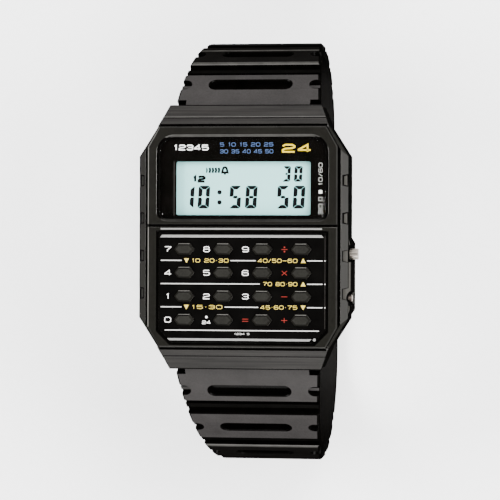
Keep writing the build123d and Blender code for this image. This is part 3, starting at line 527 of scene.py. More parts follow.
def on_seat_end(edge):
    """Whether an edge runs across the watch just beyond an end of the bezel."""
    first, last = (v.co / mm for v in edge.verts)
    high = min(first.z, last.z) > seam_height
    close = all(bezel_top.y < abs(place.y) < bezel_top.y + seam_reach for place in (first, last))
    return high and close and abs(first.x - last.x) > bezel_top.x


def case_details(bm):
    """Gives the notch floors a margin of painted shade and the two ends of the seat a wider seam of painted
    shade.
    """
    black = case_finishes.index(gloss_and_painted_shade)
    floors = [face for face in bm.faces if case_finishes[face.material_index] == notch_painted_light]
    bored = [face for face in floors if len(face.verts) >= bored_corners]
    plain = [face for face in floors if len(face.verts) < bored_corners]
    rims = []
    for some, margin in ((plain, notch_margin), (bored, bored_margin)):
        edged = bmesh.ops.inset_region(
            bm, faces=some, thickness=margin * mm, use_boundary=True, use_even_offset=False
        )
        rims += edged["faces"]
    # The left notch floors go back to plain satin, so only the right ones keep the painted light.
    for face in floors:
        if centre(face).x < 0:
            face.material_index = case_finishes.index(case_satin)
    # The seat's ends take a wider seam of painted shade, so that the gap reads as a dark line.
    ends = [edge for edge in bm.edges if on_seat_end(edge)]
    for face in rims + bevel(bm, ends, seam_width, segments=1):
        face.material_index = black
    print("notch floors", len(floors), "seams", len(ends))


softened(
    "case_shell", case_softness, case_finishes, case_face, case_edge, cuts=case_cuts, prepare=case_details
)

# %% [markdown]
# ## The bezel
#
# The bezel is the smoothest part of the front: its top is satin and a shade darker than the shelf. A
# narrow silver band along its middle bar, just above the keypad, is a painted highlight for the light on
# the edge of the bevel there. It lies in the bezel's own top face, so plane cuts mark it out there
# before the edges are softened, and it stays flush. Painted highlights brighten the rim on its left side
# and at its top left corner, and the window along its upper edge; the right side and the ends take a
# dimmer painted highlight, and the remaining chamfers painted shade.

# %% Bezel
def metal_paint(name, colour, lighter, rough):
    """Bright metallic paint with a fine flake."""
    mix = Recipe(name)
    flake = mix.grain(9000, 2.0)
    rough += 0.15 * (flake - 0.5)
    bump = mix.bump(flake, 0.1, 0.01 * mm)
    return mix.finish(mix.toned(flake.clear(0.35, 0.65), colour, lighter, rough, bump, metallic=0.55))


# Silver paint for the trims, also a painted highlight band on the bezel and a painted glint.
silver_and_painted_highlight = metal_paint("silver_and_painted_highlight", (0.19, 0.187, 0.18), (0.28, 0.275, 0.265), 0.35)
highlight_band = (1.2, 1.42)
highlight_span = (-13.4, 13.1)
groove_foot = (1.38, 1.68)
groove_head = (2.08, 2.28)
window_foot = (2.45, 2.8)
window_chamfer = (2.55, 3)
window_end = 16.2
window_side = 14
side_chamfer = 15.3
side_edge = 15.2
end_edge = 17.65
lit_corner = -13.7
corner_across = 13.4
corner_along = 15.2
rim_height = 8
upper_edge = 8.05
lower_edge = 7.9
sunk_depth = 0.1
bezel_softness = 0.1
bezel_finishes = [bezel_satin, gloss_and_painted_shade, silver_and_painted_highlight, bezel_painted_highlight, edge_painted_highlight, bright_painted_highlight, dim_painted_highlight]


def within(value, band):
    """Whether a value lies between the two ends of a band."""
    return band[0] < value < band[1]


def outward(face):
    """Whether a face looks away from the middle of the watch."""
    middle = centre(face)
    return face.normal.x * middle.x + face.normal.y * middle.y > 0


def rim_end(middle):
    """The rim's far and near ends and cut corners take a dim painted highlight, but the top left corner a
    brighter one.
    """
    return edge_painted_highlight if middle.x < lit_corner and middle.y > 0 else dim_painted_highlight


def bezel_face(face):
    """The finish of a face of the bezel: flat tops are satin, and each chamfer has its own tone, a painted
    highlight on some and painted shade on others.
    """
    middle = centre(face)
    if face.normal.z < upward:
        return gloss_and_painted_shade
    if face.normal.z > flat:
        if middle.z < bezel_top.z - sunk_depth:
            return gloss_and_painted_shade
        # A band of the top face is painted silver as a highlight for the light on the bevel's edge.
        highlighted = within(middle.y, highlight_band) and within(middle.x, highlight_span)
        return silver_and_painted_highlight if highlighted else bezel_satin
    # Side chamfers: a bright painted highlight on the left, a dim one on the right.
    if abs(middle.x) > side_chamfer:
        return bright_painted_highlight if middle.x < 0 else dim_painted_highlight
    if outward(face) and middle.z > rim_height:
        return rim_end(middle)
    # The window's upper chamfer takes a painted highlight.
    if middle.y > window_end:
        return bezel_painted_highlight
    return dim_painted_highlight if within(middle.y, window_chamfer) else gloss_and_painted_shade


def bezel_edge(face):
    """The finish of a softened edge of the bezel: painted highlights of several strengths, and black painted
    shade on the rest.
    """
    middle = centre(face)
    if abs(middle.x) > side_edge:
        return bright_painted_highlight if middle.x < 0 else dim_painted_highlight
    if middle.y < -end_edge:
        return bezel_painted_highlight
    in_corner = abs(middle.x) > corner_across and abs(middle.y) > corner_along
    if middle.y > end_edge or (in_corner and outward(face)):
        return rim_end(middle)
    if middle.z > upper_edge and middle.y > window_chamfer[0] and abs(middle.x) > window_side:
        return edge_painted_highlight
    if within(middle.y, groove_foot):
        return bright_painted_highlight
    if middle.y > window_end or within(middle.y, window_foot):
        return bezel_painted_highlight
    if middle.z < lower_edge and face.normal.z > upward:
        return bezel_painted_highlight
    return dim_painted_highlight if within(middle.y, groove_head) else gloss_and_painted_shade


highlight_cuts = planes(along_y, *highlight_band) + planes(along_x, *highlight_span)
softened("front_bezel", bezel_softness, bezel_finishes, bezel_face, bezel_edge, cuts=highlight_cuts)

# %% [markdown]
# ## The strap
#
# Each half bends round the wrist, so its raised faces look in every direction, and a face's slope says
# nothing about its texture. What does is its depth under the strap's outer surface. That surface is two
# arcs and a straight, so the depth at any point is a radius less a distance. A face at no depth is spark
# textured, and further round the wrist it is painted darker as shade. Below it the grooves and recesses
# are black gloss with painted shade, but not the floors of the side pockets. The flanks are gloss too, a
# little brighter. Deeper than the band is thick lies its matt lining. A few strips that face the light
# carry a painted highlight, and level planes mark them off.

# %% Strap
bar_y = 19.4
bar_height = 2.4
barrel_radius = 1.7
root_lean = math.radians(60)
face_depth = 0.1
lining_depth = 1.4
pocket_depths = (0.4, 0.8)
pocket_start = 9.6
pocket_lowest = -12
sideways = 0.8
lit_width = 15
lit_depth = 0.35
lit_reach = 2.5
lit_slope = 0.6


def arc_middle(radius):
    """The middle of the arc that starts tangent to the strap's root, as a place along and a height."""
    reach = barrel_radius - radius
    return bar_y + reach * math.cos(root_lean), bar_height + reach * math.sin(root_lean)


class StrapSurface:
    """The outer surface of one strap half, seen from the side."""

    def __init__(self, side, front_radius, back_radius, shade_height, highlight_strips):
        self.side = side
        self.front_radius = front_radius
        self.back_radius = back_radius
        self.shade_height = shade_height
        self.highlight_strips = highlight_strips
        self.front_y, self.middle_z = arc_middle(front_radius)
        self.back_y = self.front_y + front_radius - back_radius

    def depth(self, place):
        """How far a point lies under the surface."""
        y = place.y * self.side
        if place.z > self.middle_z:
            return self.front_radius - math.hypot(y - self.front_y, place.z - self.middle_z)
        if y > self.back_y:
            return self.back_radius - math.hypot(y - self.back_y, place.z - self.middle_z)
        return place.z - (self.middle_z - self.back_radius)

    def face(self, face):
        """The finish of a face, by its depth, its direction and its place round the wrist."""
        depths = [self.depth(v.co / mm) for v in face.verts]
        middle = centre(face)
        if abs(face.normal.x) > sideways and max(depths) > lining_depth:
            return flank_gloss_and_painted_shade
        if min(depths) > lining_depth:
            return strap_lining
        in_pocket = all(within(depth, pocket_depths) for depth in depths)
        if in_pocket and abs(middle.x) > pocket_start and middle.z > pocket_lowest:
            return strap_satin
        if max(depths) > face_depth:
            return self.edge(face)
        # Painted highlight on the strips, painted shade on the raised faces below the shade height.
        if any(within(middle.z, strip) for strip in self.highlight_strips):
            return soft_painted_highlight
        return strap_painted_shade if middle.z < self.shade_height else strap_satin

    def edge(self, face):
        """The near edge of the first far raised face carries a painted highlight, other edges are black
        gloss with painted shade.
        """
        reach = [v.co.x / mm for v in face.verts]
        height = centre(face).z
        crosses = max(reach) - min(reach) > lit_width
        shallow = max(self.depth(v.co / mm) for v in face.verts) < lit_depth
        near = self.shade_height - lit_reach < height < self.shade_height
        lit = crosses and shallow and near and face.normal.z > lit_slope
        return soft_painted_highlight if lit else gloss_and_painted_shade

    def cuts(self):
        """The level planes that mark off the strips with a painted highlight."""
        return planes(along_z, *(height for strip in self.highlight_strips for height in strip))


buckle_radius = 25.9
buckle_back_radius = 15
# Below these heights the raised faces take painted shade; the listed strips take a painted highlight.
buckle_shade = -2.7
buckle_highlight_strips = [(-4.72, -4.1), (-9.4, -8.8)]
tail_radius = 36.3
tail_back_radius = arc_middle(tail_radius)[1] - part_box("strap_lower")[0].z / mm
tail_shade = -11.5
tail_highlight_strips = [(-13.25, -12.6)]
strap_softness = 0.16
keeper_softness = 0.2
strap_surfaces = {
    "strap_upper": StrapSurface(1, buckle_radius, buckle_back_radius, buckle_shade, buckle_highlight_strips),
    "strap_lower": StrapSurface(-1, tail_radius, tail_back_radius, tail_shade, tail_highlight_strips),
}
strap_finishes = [strap_satin, gloss_and_painted_shade, soft_painted_highlight, strap_painted_shade, strap_lining, flank_gloss_and_painted_shade]
for node, surface in strap_surfaces.items():
    softened(node, strap_softness, strap_finishes, surface.face, surface.edge, cuts=surface.cuts())
# The keeper takes the darker painted-shade satin, and its edges a painted highlight.
softened("strap_keeper", keeper_softness, [strap_painted_shade, edge_painted_highlight])

# %% [markdown]
# ## The keys and their plate
#
# The sixteen keys are small lozenges of olive-black resin, a little lighter than the plate round them.
# The plate is steel with satin black paint. A key's edges are softened less than the case's, because
# the whole key is under four millimetres wide. The upper chamfer is cut in two: its far part carries a
# painted highlight, as do the lower edges there and at the right tip, and its near part is painted
# black as shade. The lower chamfer and the other edges take a darker satin as painted shade.

# %% Keys and plate
key_satin = satin_resin("key_satin", (0.003, 0.0029, 0.0022), (0.008, 0.0077, 0.0062), 0.01, 0.42)
# Painted shade: the lower chamfer and most softened edges of a key take this darker satin.
key_painted_shade = satin_resin("key_painted_shade", (0.0014, 0.0013, 0.001), (0.003, 0.0028, 0.0022), 0.004, 0.42)
plate_black = gloss_resin("plate_black", (0.0004, 0.00035, 0.0003), (0.0007, 0.0006, 0.0005), 0.004, 0.3)
key_slope = 0.6
key_rim_start = 0.83
key_tip = 0.75
key_edge_height = 7.95
key_softness = 0.06


def soften_key(name):
    """Softens one key and gives its chamfers their painted highlights and painted shade."""
    low, high = (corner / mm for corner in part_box(name))
    rim_start = (low.y + high.y) / 2 + key_rim_start

    def key_face(face):
        if face.normal.z < upward:
            return gloss_and_painted_shade
        # Upper chamfer: far part painted highlight, near part painted shade; lower chamfer painted shade.
        if face.normal.y > key_slope:
            return bright_painted_highlight if centre(face).y > rim_start else gloss_and_painted_shade
        return key_painted_shade if face.normal.y < -key_slope else key_satin

    def key_edge(face):
        middle = centre(face)
        if face.normal.z < upward:
            return gloss_and_painted_shade
        # Far and right-tip lower edges take a painted highlight, the rest painted shade.
        far = face.normal.y > key_slope or middle.x > high.x - key_tip
        return bright_painted_highlight if far and middle.z < key_edge_height else key_painted_shade

    finishes = [key_satin, key_painted_shade, gloss_and_painted_shade, bright_painted_highlight]
    softened(name, key_softness, finishes, key_face, key_edge, cuts=planes(along_y, rim_start))


for name in sorted(nodes):
    if name.startswith("key_"):
        soften_key(name)
put_finish(plate_black, "keypad_plate")

# %% [markdown]
# ## The window
#
# A real window is clear resin over a black printed border. Clear glass with refraction would also block
# the light on its way down to the display, so the window is a mix of two shaders: see-through, and a
# mirror gloss whose share grows at a slant, as the Fresnel node says. The copy's underside is lifted by
# a few hundredths, because two surfaces at exactly one height shimmer.

# %% Window and border
window_lift = 0.03 * mm


def window_material():
    """Clear resin: see-through, with a gloss that grows at a slant."""
    mix = Recipe("window_clear")
    bump = mix.bump(mix.grain(120, 3.0), 0.02, 0.02 * mm)
    gloss = mix.surface(base_color=(0.4, 0.41, 0.42, 1), roughness=0.04, metallic=1.0, normal=bump)
    clear = mix.add("BsdfTransparent", {}, {"Color": (0.985, 0.99, 0.99, 1)})
    share = mix.add("Fresnel", {}, {"IOR": 1.12})
    return mix.finish(mix.add("MixShader", {}, {0: share, 1: clear, 2: gloss}))


window = merged_copy("display_glass")
window_foot_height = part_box("display_glass")[0].z + window_lift
foot_verts = [v for v in window.verts if v.co.z < window_foot_height]
bmesh.ops.translate(window, vec=(0, 0, window_lift), verts=foot_verts)
keep_flats(smooth_piece(window, "display_glass", "window_sheet", window_material()))
mask_black = gloss_resin("mask_black", (0.0005, 0.0004, 0.0002), (0.0009, 0.0006, 0.0004), 0.004, 0.3)
put_finish(mask_black, "display_mask")

# %% [markdown]
# ## The display
#
# A liquid crystal display without light of its own is a pale blue-green sheet with black figures. It is
# not one flat colour: the foil behind it has a fine sparkle, and its tone drifts a little.

# %% Display sheet
def display_material():
    """The pale face of the display, over its foil."""
    mix = Recipe("display_face")
    sparkle = mix.grain(7000, 2.0)
    slow = mix.grain(90, 1.0)
    tone = (0.4 * sparkle + 0.6 * slow).clear(0.3, 0.7)
    tones = ((0.238, 0.49, 0.472), (0.277, 0.535, 0.516))
    rough = 0.32 + 0.1 * (sparkle - 0.5)
    bump = mix.bump(sparkle, 0.05, 0.01 * mm)
    return mix.finish(mix.toned(tone, *tones, rough, bump, specular_ior_level=0.2))


put_finish(display_material(), "lcd_cell")

# %% [markdown]
# ## Thin shapes
#
# Figures and printing are films a few hundredths of a millimetre thick. Each one starts as an outline
# of a few points or as a disc, which is filled and then extruded upwards. Several shapes share one
# bmesh, so that a row of printing is one piece. A ground is the slot and the height of the surface that
# they lie on.

# %% Films
film_thickness = 0.02 * mm
quarter_turn = Matrix.Rotation(math.pi / 2, 4, "Z")


def put_points(bm, points, height):
    """Makes vertices at places given in millimetres."""
    return [bm.verts.new((x * mm, y * mm, height)) for x, y in points]


def raise_faces(bm, height):
    """Extrudes every face of a flat mesh upwards."""
    lifted = bmesh.ops.extrude_face_region(bm, geom=bm.faces[:])["geom"]
    tops = [item for item in lifted if isinstance(item, bmesh.types.BMVert)]
    bmesh.ops.translate(bm, vec=(0, 0, height), verts=tops)


def raised_film(bm, name, finish, slot):
    """Hands over flat faces as one film on the case."""
    raise_faces(bm, film_thickness)
    bmesh.ops.recalc_face_normals(bm, faces=bm.faces)
    finished_piece(bm, name, "case", slot, finish)


def film_piece(name, finish, ground, outlines=(), discs=()):
    """Thin shapes as one piece. A disc has a middle, a radius and a number of corners."""
    slot, surface = ground
    bm = bmesh.new()
    for outline in outlines:
        bm.faces.new(put_points(bm, outline, surface))
    for x, y, radius, corners in discs:
        middle = Matrix.Translation((x * mm, y * mm, surface)) @ quarter_turn
        bmesh.ops.create_circle(bm, cap_ends=True, segments=corners, radius=radius * mm, matrix=middle)
    raised_film(bm, name, finish, slot)


def bar_outline(left, right, low, high):
    return [(left, low), (right, low), (right, high), (left, high)]


def ink(name, colour, lighter, rough=0.5):
    """Printing ink, a little uneven."""
    mix = Recipe(name)
    grain = mix.grain(6000, 2.0)
    tone = grain.clear(0.3, 0.7)
    rough += 0.2 * (grain - 0.5)
    bump = mix.bump(grain, 0.08, 0.01 * mm)
    return mix.finish(mix.toned(tone, colour, lighter, rough, bump, specular_ior_level=0.05))


crystal_black = ink("crystal_black", (0.0008, 0.001, 0.0012), (0.002, 0.0024, 0.0028), 0.4)
white_ink = ink("white_ink", (0.74, 0.73, 0.7), (0.84, 0.83, 0.8))
line_ink = ink("line_ink", (0.4, 0.39, 0.375), (0.47, 0.46, 0.44))
# Painted light: a dim gray ink for thin lines that stand for lit rims.
rim_painted_light = ink("rim_painted_light", (0.016, 0.0145, 0.013), (0.024, 0.022, 0.02))
blue_ink = ink("blue_ink", (0.035, 0.058, 0.125), (0.055, 0.085, 0.17))
gold_ink = ink("gold_ink", (0.5, 0.33, 0.012), (0.6, 0.42, 0.025))
yellow_ink = ink("yellow_ink", (0.42, 0.315, 0.06), (0.52, 0.4, 0.09))
red_ink = ink("red_ink", (0.13, 0.012, 0.009), (0.165, 0.019, 0.013))
print("finishes so far", len(bpy.data.materials))

# %% [markdown]
# ## Seven-bar figures
#
# Every figure on the display is a choice from seven bars, so one table of names says which bars each
# figure lights. A bar has slanted ends that leave a hair's gap to its neighbours, and the whole figure
# leans to the right, by moving each point sideways in step with its height. A row of figures gives the
# height of its feet, the size of a figure, and the left side of each one.

# %% Display figures
lean = math.tan(math.radians(3.5))
tip = 0.35
figure_gap = 0.035
lit_bars = {"0": "abcdef", "1": "bc", "3": "abcdg", "5": "acdfg", "8": "abcdefg"}


def bar_shapes(width, height, wall, beam):
    """The outline of each of the seven bars, by its usual letter: upright walls and level beams."""
    gap = figure_gap
    half = height / 2
    thick = 0.36 * beam
    start = wall + gap
    end = width - wall - gap
    slope = height - tip * beam / 2
    top = [(tip * wall + gap, height), (width - tip * wall - gap, height)]
    top += [(width - tip * wall / 2 - gap, slope), (end, height - beam)]
    top += [(start, height - beam), (tip * wall / 2 + gap, slope)]
    left = [(0, height - tip * beam - gap), (0, half + 2 * gap), (0.7 * wall, half + 2 * gap)]
    left += [(wall, half + tip * beam + 2 * gap), (wall, height - beam - gap)]
    left += [(tip * wall / 2, slope - gap)]
    middle = [(0.75 * wall + gap, half), (start, half + thick), (end, half + thick)]
    middle += [(width - 0.75 * wall - gap, half), (end, half - thick), (start, half - thick)]
    down = [(x, height - y) for x, y in left]
    return {
        "a": top,
        "b": [(width - x, y) for x, y in left],
        "c": [(width - x, y) for x, y in down],
        "d": [(x, height - y) for x, y in top],
        "e": down,
        "f": left,
        "g": middle,
    }


on_display = ("lcd_face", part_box("lcd_cell")[1].z)
big_figure = (1.9, 3.7, 0.66, 0.6)
small_figure = (1.32, 2.52, 0.52, 0.46)
figure_rows = [
    (4.66, big_figure, [(-10.38, "1"), (-7.8, "0"), (-2.6, "5"), (0.04, "8"), (5.26, "5"), (7.9, "0")]),
    (9.02, small_figure, [(6.16, "3"), (8.1, "0")]),
]
colon_x = -4.15
colon_heights = (5.66, 7.3)
colon_radius = 0.37
round_corners = 20

figures = []
for foot, size, places in figure_rows:
    shapes = bar_shapes(*size)
    for left, digit in places:
        for letter in lit_bars[digit]:
            figures.append([(left + x + y * lean, foot + y) for x, y in shapes[letter]])
colon = [(colon_x, height, colon_radius, round_corners) for height in colon_heights]
film_piece("display_figures", crystal_black, on_display, figures, colon)

# %% [markdown]
# ## Lettering
#
# Numbers and signs are drawn as a sign writer would, with a pen of one width. A figure is a few lines
# in a box one wide and one high. Each line is raised into a low wall, and a Solidify modifier gives the
# walls of one piece the pen's width, evenly on both sides, so that the corners come out mitred. Round
# forms are drawn as cut corners, which is what a wide engraved figure looks like at this size. A cap
# runs over the top from left to right, and a bowl under the foot from right to left.

# %% Pen figures
cut = 0.2
near = 1 - cut
half = 0.52
cap = [(0, near), (cut, 1), (near, 1), (1, near)]
bowl = [(1, cut), (near, 0), (cut, 0), (0, cut)]
pen_lines = {
    "0": [[*bowl[2::-1], *cap[::-1], bowl[3], bowl[2]]],
    "1": [[(0.25, 0.8), (0.6, 1), (0.6, 0)]],
    "2": [[*cap, (1, 0.66), (near, half), (cut, 0.44), (0, 0.28), (0, 0), (1, 0)]],
    "3": [[*cap, (1, 0.68), (near, half)], [(0.25, half), (near, half), (1, 0.36), *bowl]],
    "4": [[(0.75, 0), (0.75, 1), (0, 0.32), (0, 0.24), (1, 0.24)]],
    "5": [[(0.96, 1), (0.06, 1), (0.02, 0.56), (near, 0.6), (1, 0.44), *bowl[:3], (0, 0.14)]],
    "6": [[(0.96, 0.86), *cap[2::-1], *bowl[::-1], (1, 0.4), (near, 0.56), (0.1, 0.56)]],
    "7": [[(0, 1), (1, 1), (1, 0.9), (0.42, 0.34), (0.42, 0)]],
    "8": [
        [(cut, 0), (near, 0), (1, 0.16), (1, 0.38), (near, half)]
        + [(cut, half), (0, 0.38), (0, 0.16), (cut, 0)],
        [(0.1, 0.6), (0.06, 0.86), (cut, 1), (near, 1), (0.94, 0.86), (0.9, 0.6)],
    ],
    "9": [[(0.04, 0.14), *bowl[2::-1], *cap[::-1], (0, 0.6), (cut, 0.44), (0.9, 0.44)]],
    "+": [[(0, 0.5), (1, 0.5)], [(0.5, 0.02), (0.5, 0.98)]],
    "-": [[(0, 0.5), (1, 0.5)]],
    "x": [[(0.08, 0.08), (0.92, 0.92)], [(0.08, 0.92), (0.92, 0.08)]],
    "=": [[(0, 0.28), (1, 0.28)], [(0, 0.72), (1, 0.72)]],
    "/": [[(0, 0), (1, 1)]],
    ".": [[(0.35, 0.5), (0.65, 0.5)]],
    " ": [],
}
narrow = {"1": 0.6, ".": 0.45, "/": 0.6, " ": 0.5}
letter_gap = 0.34
line_lift = film_thickness / 5


def pen_line(bm, points, height):
    """One line of the pen, raised into a low wall."""
    corners = put_points(bm, points, height)
    edges = [bm.edges.new(pair) for pair in zip(corners, corners[1:])]
    lifted = bmesh.ops.extrude_edge_only(bm, edges=edges)["geom"]
    tops = [item for item in lifted if isinstance(item, bmesh.types.BMVert)]
    bmesh.ops.translate(bm, vec=(0, 0, film_thickness), verts=tops)


def write(bm, words, box, surface, upwards):
    """Writes figures so that they fill a box, from left to right or from low to high."""
    left, right, low, high = box
    widths = [narrow.get(letter, 1.0) for letter in words]
    room = sum(widths) + letter_gap * (len(words) - 1)
    start = 0.0
    for letter, width in zip(words, widths):
        for number, points in enumerate(pen_lines[letter]):
            placed = []
            for x, y in points:
                along = (start + x * width) / room
                if upwards:
                    placed.append((right + (left - right) * y, low + (high - low) * along))
                else:
                    placed.append((left + (right - left) * along, low + (high - low) * y))
            pen_line(bm, placed, surface + line_lift * number)
        start += width + letter_gap


def pen_piece(name, finish, ground, rows=(), lines=(), pen=0.1, upwards=False):
    """One piece of printing with a pen of even width. A row is its words and the sides of their box."""
    slot, surface = ground
    bm = bmesh.new()
    for words, *box in rows:
        write(bm, words, box, surface, upwards)
    for points in lines:
        pen_line(bm, points, surface)
    bmesh.ops.remove_doubles(bm, verts=bm.verts, dist=weld_distance)
    piece = finished_piece(bm, name, "case", slot, finish)
    widen = piece.modifiers.new("pen_width", "SOLIDIFY")
    widen.thickness = pen * mm
    widen.offset = 0
    widen.use_even_offset = True


print("pen figures", len(pen_lines))

# %% [markdown]
# ## Signs on the display
#
# Above the figures stand the usual signs of an alarm: a small bell, and bars for its sound. The bell is
# drawn with the pen as a half circle on a flared skirt, with a clapper below. The sound starts from a
# small half disc.

# %% Display signs
sound_left = -6.28
sound_pitch = 0.5
sound_middle = 10.88
sound_reach = 0.42
sound_bow = [(-0.05, -sound_reach), (0.06, 0), (-0.02, sound_reach)]
sound_bows = 4
source_left = sound_left - 0.1
source_width = 0.26
source_reach = 0.46
source_steps = 8
bell_x = -3.27
bell_rim = 10.52
bell_rim_half = 0.46
bell_radius = 0.32
bell_shoulder = 11.05
arch_steps = 6
clapper_disc = (bell_x, 10.3, 0.17, 10)

sound = [
    [(sound_left + sound_pitch * number + across, sound_middle + along) for across, along in sound_bow]
    for number in range(1, sound_bows + 1)
]
arch = [math.pi * number / arch_steps for number in range(arch_steps + 1)]
bell = [(bell_x + bell_radius * math.cos(t), bell_shoulder + bell_radius * math.sin(t)) for t in arch]
bell += [(bell_x - bell_rim_half, bell_rim), (bell_x + bell_rim_half, bell_rim), bell[0]]
pen_piece("display_signs", crystal_black, on_display, lines=[*sound, bell], pen=0.35)
pen_piece("display_number", crystal_black, on_display, [("12", -8.55, -6.62, 9.05, 9.85)], pen=0.37)
half_turn = [math.pi * (number / source_steps - 0.5) for number in range(source_steps + 1)]
source = [
    (source_left + source_width * math.cos(t), sound_middle + source_reach * math.sin(t))
    for t in half_turn
]
film_piece("bell_clapper", crystal_black, on_display, [source], [clapper_disc])

# %% [markdown]
# ## Printing on the window
#
# The border behind the window carries a white mark, two lines of small blue marks, a gold number and a
# white column along the right side with two squares. Where the real watch has words, this one has plain
# numbers of the same colour and size, such as a dial has. Each row is its words and the left, right,
# lower and upper side of their box. A black sheet with a hole frames the display. The hole is a bar
# whose corners a vertex bevel rounds, and a fill between the two outlines makes the sheet.

# %% Window printing
border_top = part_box("display_mask")[1].z
on_border = ("mask_black", border_top)
blue_rows = [("5 10 15 20 25", -3.85, 4.85, 14.76, 15.32), ("30 35 40 45 50", -3.85, 4.85, 13.64, 14.2)]
pen_piece("window_mark_white", white_ink, on_border, [("12345", -11.5, -5.85, 14.18, 14.95)], pen=0.17)
pen_piece("window_mark_blue", blue_ink, on_border, blue_rows)
pen_piece("window_mark_gold", gold_ink, on_border, [("24", 6.45, 11.0, 13.84, 14.98)], pen=0.27)

border_outer = bar_outline(-11.6, 11.6, 3.2, 12.9)
border_inner = bar_outline(-11.06, 11.02, 3.56, 12.26)
border_corner = 0.28
border_light_line = bar_outline(-11.52, -11.4, 3.5, 12.3)

border = bmesh.new()
hole = put_points(border, border_inner, border_top)
border.faces.new(hole)
bevel(border, hole, border_corner, segments=5, affect="VERTICES")
bmesh.ops.delete(border, geom=border.faces[:], context="FACES_ONLY")
rim = put_points(border, border_outer, border_top)
for pair in zip(rim, rim[1:] + rim[:1]):
    border.edges.new(pair)
bmesh.ops.triangle_fill(border, edges=border.edges[:], use_beauty=True)
raised_film(border, "display_border", mask_black, "mask_black")
# A thin gray line on the border's left side is painted light for the lit wall of the display's recess.
film_piece("display_painted_light_line", rim_painted_light, ("mask_black", border_top + film_thickness), [border_light_line])

# %% [markdown]
# ## The column beside the display
#
# The column reads upwards. Its two squares are one filled and one open, made from the same outline.

# %% Side column
column_sides = (12.37, 12.93)
column_middle = sum(column_sides) / 2
column_rows = [("10/60", *column_sides, 8.4, 12.0), ("30", *column_sides, 3.75, 5.35)]
square_half = 0.27
solid_y = 7.35
open_y = 6.2


def square(middle_y):
    """A small square in the column."""
    sides = (column_middle - square_half, column_middle + square_half)
    return bar_outline(*sides, middle_y - square_half, middle_y + square_half)


open_square = square(open_y) + square(open_y)[:1]
pen_piece("window_column", line_ink, on_border, column_rows, [open_square], pen=0.06, upwards=True)
film_piece("window_square", white_ink, on_border, [square(solid_y)])

# %% [markdown]
# ## Printing on the keypad
#
# The key labels stand to the left of their keys, so their places come from the keys' own boxes. The
# digits are white and wide, and the five signs of arithmetic are red. The sign of division is a level
# line with two dots. The key for the decimal point has a round dot above a small plain number.

# %% Key labels
plate_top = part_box("keypad_plate")[1].z
on_plate = ("plate_black", plate_top)
label_shift = 2.68
label_half_width = 0.49
label_half_height = 0.4
dot_inset = 0.06
dot_radius = 0.13
dot_corners = 12
sign_keys = {"key_plus": "+", "key_minus": "-", "key_times": "x", "key_equals": "=", "key_divide": "-"}


def label_box(node):
    """The left, right, lower and upper side of the label beside a key."""
    middle = (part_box(node)[0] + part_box(node)[1]) / 2 / mm
    x = middle.x - label_shift
    y = middle.y
    return x - label_half_width, x + label_half_width, y - label_half_height, y + label_half_height


digit_rows = []
for digit in "0123456789":
    left, right, low, high = label_box("key_" + digit)
    inset = (1 - narrow.get(digit, 1)) * label_half_width
    digit_rows.append((digit, left + inset, right - inset, low, high))
pen_piece("key_labels", white_ink, on_plate, digit_rows, pen=0.095)
sign_rows = [(sign, *label_box(node)) for node, sign in sign_keys.items()]
pen_piece("operator_labels", red_ink, on_plate, sign_rows)
left, right, low, high = label_box("key_divide")
dots = [((left + right) / 2, y, dot_radius, dot_corners) for y in (low + dot_inset, high - dot_inset)]
film_piece("operator_dots", red_ink, on_plate, discs=dots)

# %% Point label
point_rise = 0.07
point_radius = 0.19
point_widening = 0.16
point_drop = 0.22
point_height = 0.46

left, right, low, high = label_box("key_point")
point_disc = ((left + right) / 2, high + point_rise, point_radius, round_corners)
film_piece("point_label", white_ink, on_plate, discs=[point_disc])
point_foot = low - point_drop
point_row = ("24", left - point_widening, right + point_widening, point_foot, point_foot + point_height)
pen_piece("point_number", white_ink, on_plate, [point_row], pen=0.075)

# %% [markdown]
# ## Lines and small yellow signs
#
# Four white lines cross the keypad at one pitch. Each is a list of spans, with gaps for the yellow signs
# that stand on it. An arrow is a triangle that points up or down, and plain numbers stand beside it.

# %% Keypad lines
line_half = 0.068
first_line = -3.83
line_pitch = 3.78
line_spans = [
    [(-13.45, -10.0), (-1.95, 2.2), (10.65, 13.15), (13.45, 13.65)],
    [(-13.45, 2.9), (10.65, 13.15), (13.45, 13.65)],
    [(-13.45, -10.0), (-2.85, 2.65), (10.65, 13.15), (13.45, 13.65)],
    [(-12.75, 12.6)],
]
plate_light_line = bar_outline(13.52, 13.58, -14.8, 0.2)
arrow_half = 0.4
arrow_foot = 0.34
arrow_places = [(-9.2, 0, -1), (10.0, 0, 1), (10.0, 1, 1), (-9.2, 2, -1), (10.0, 2, -1)]
mark_half = 0.28
mark_places = [
    ("10 20.30", -8.3, -2.3, 0),
    ("40/50-60", 2.6, 9.0, 0),
    ("70 80.90", 3.45, 9.0, 1),
    ("15.30", -8.3, -3.3, 2),
    ("45.60.75", 3.05, 9.0, 2),
]


def line_band(number, half):
    """The lower and upper side of a band along a line of the keypad."""
    middle = first_line - line_pitch * number
    return middle - half, middle + half


bars = [
    bar_outline(left, right, *line_band(number, line_half))
    for number, spans in enumerate(line_spans)
    for left, right in spans
]
film_piece("keypad_lines", line_ink, on_plate, bars)
# A thin gray line near the keypad's right edge is painted light for a lit rim.
film_piece("keypad_painted_light_line", rim_painted_light, ("plate_black", plate_top - film_thickness / 2), [plate_light_line])

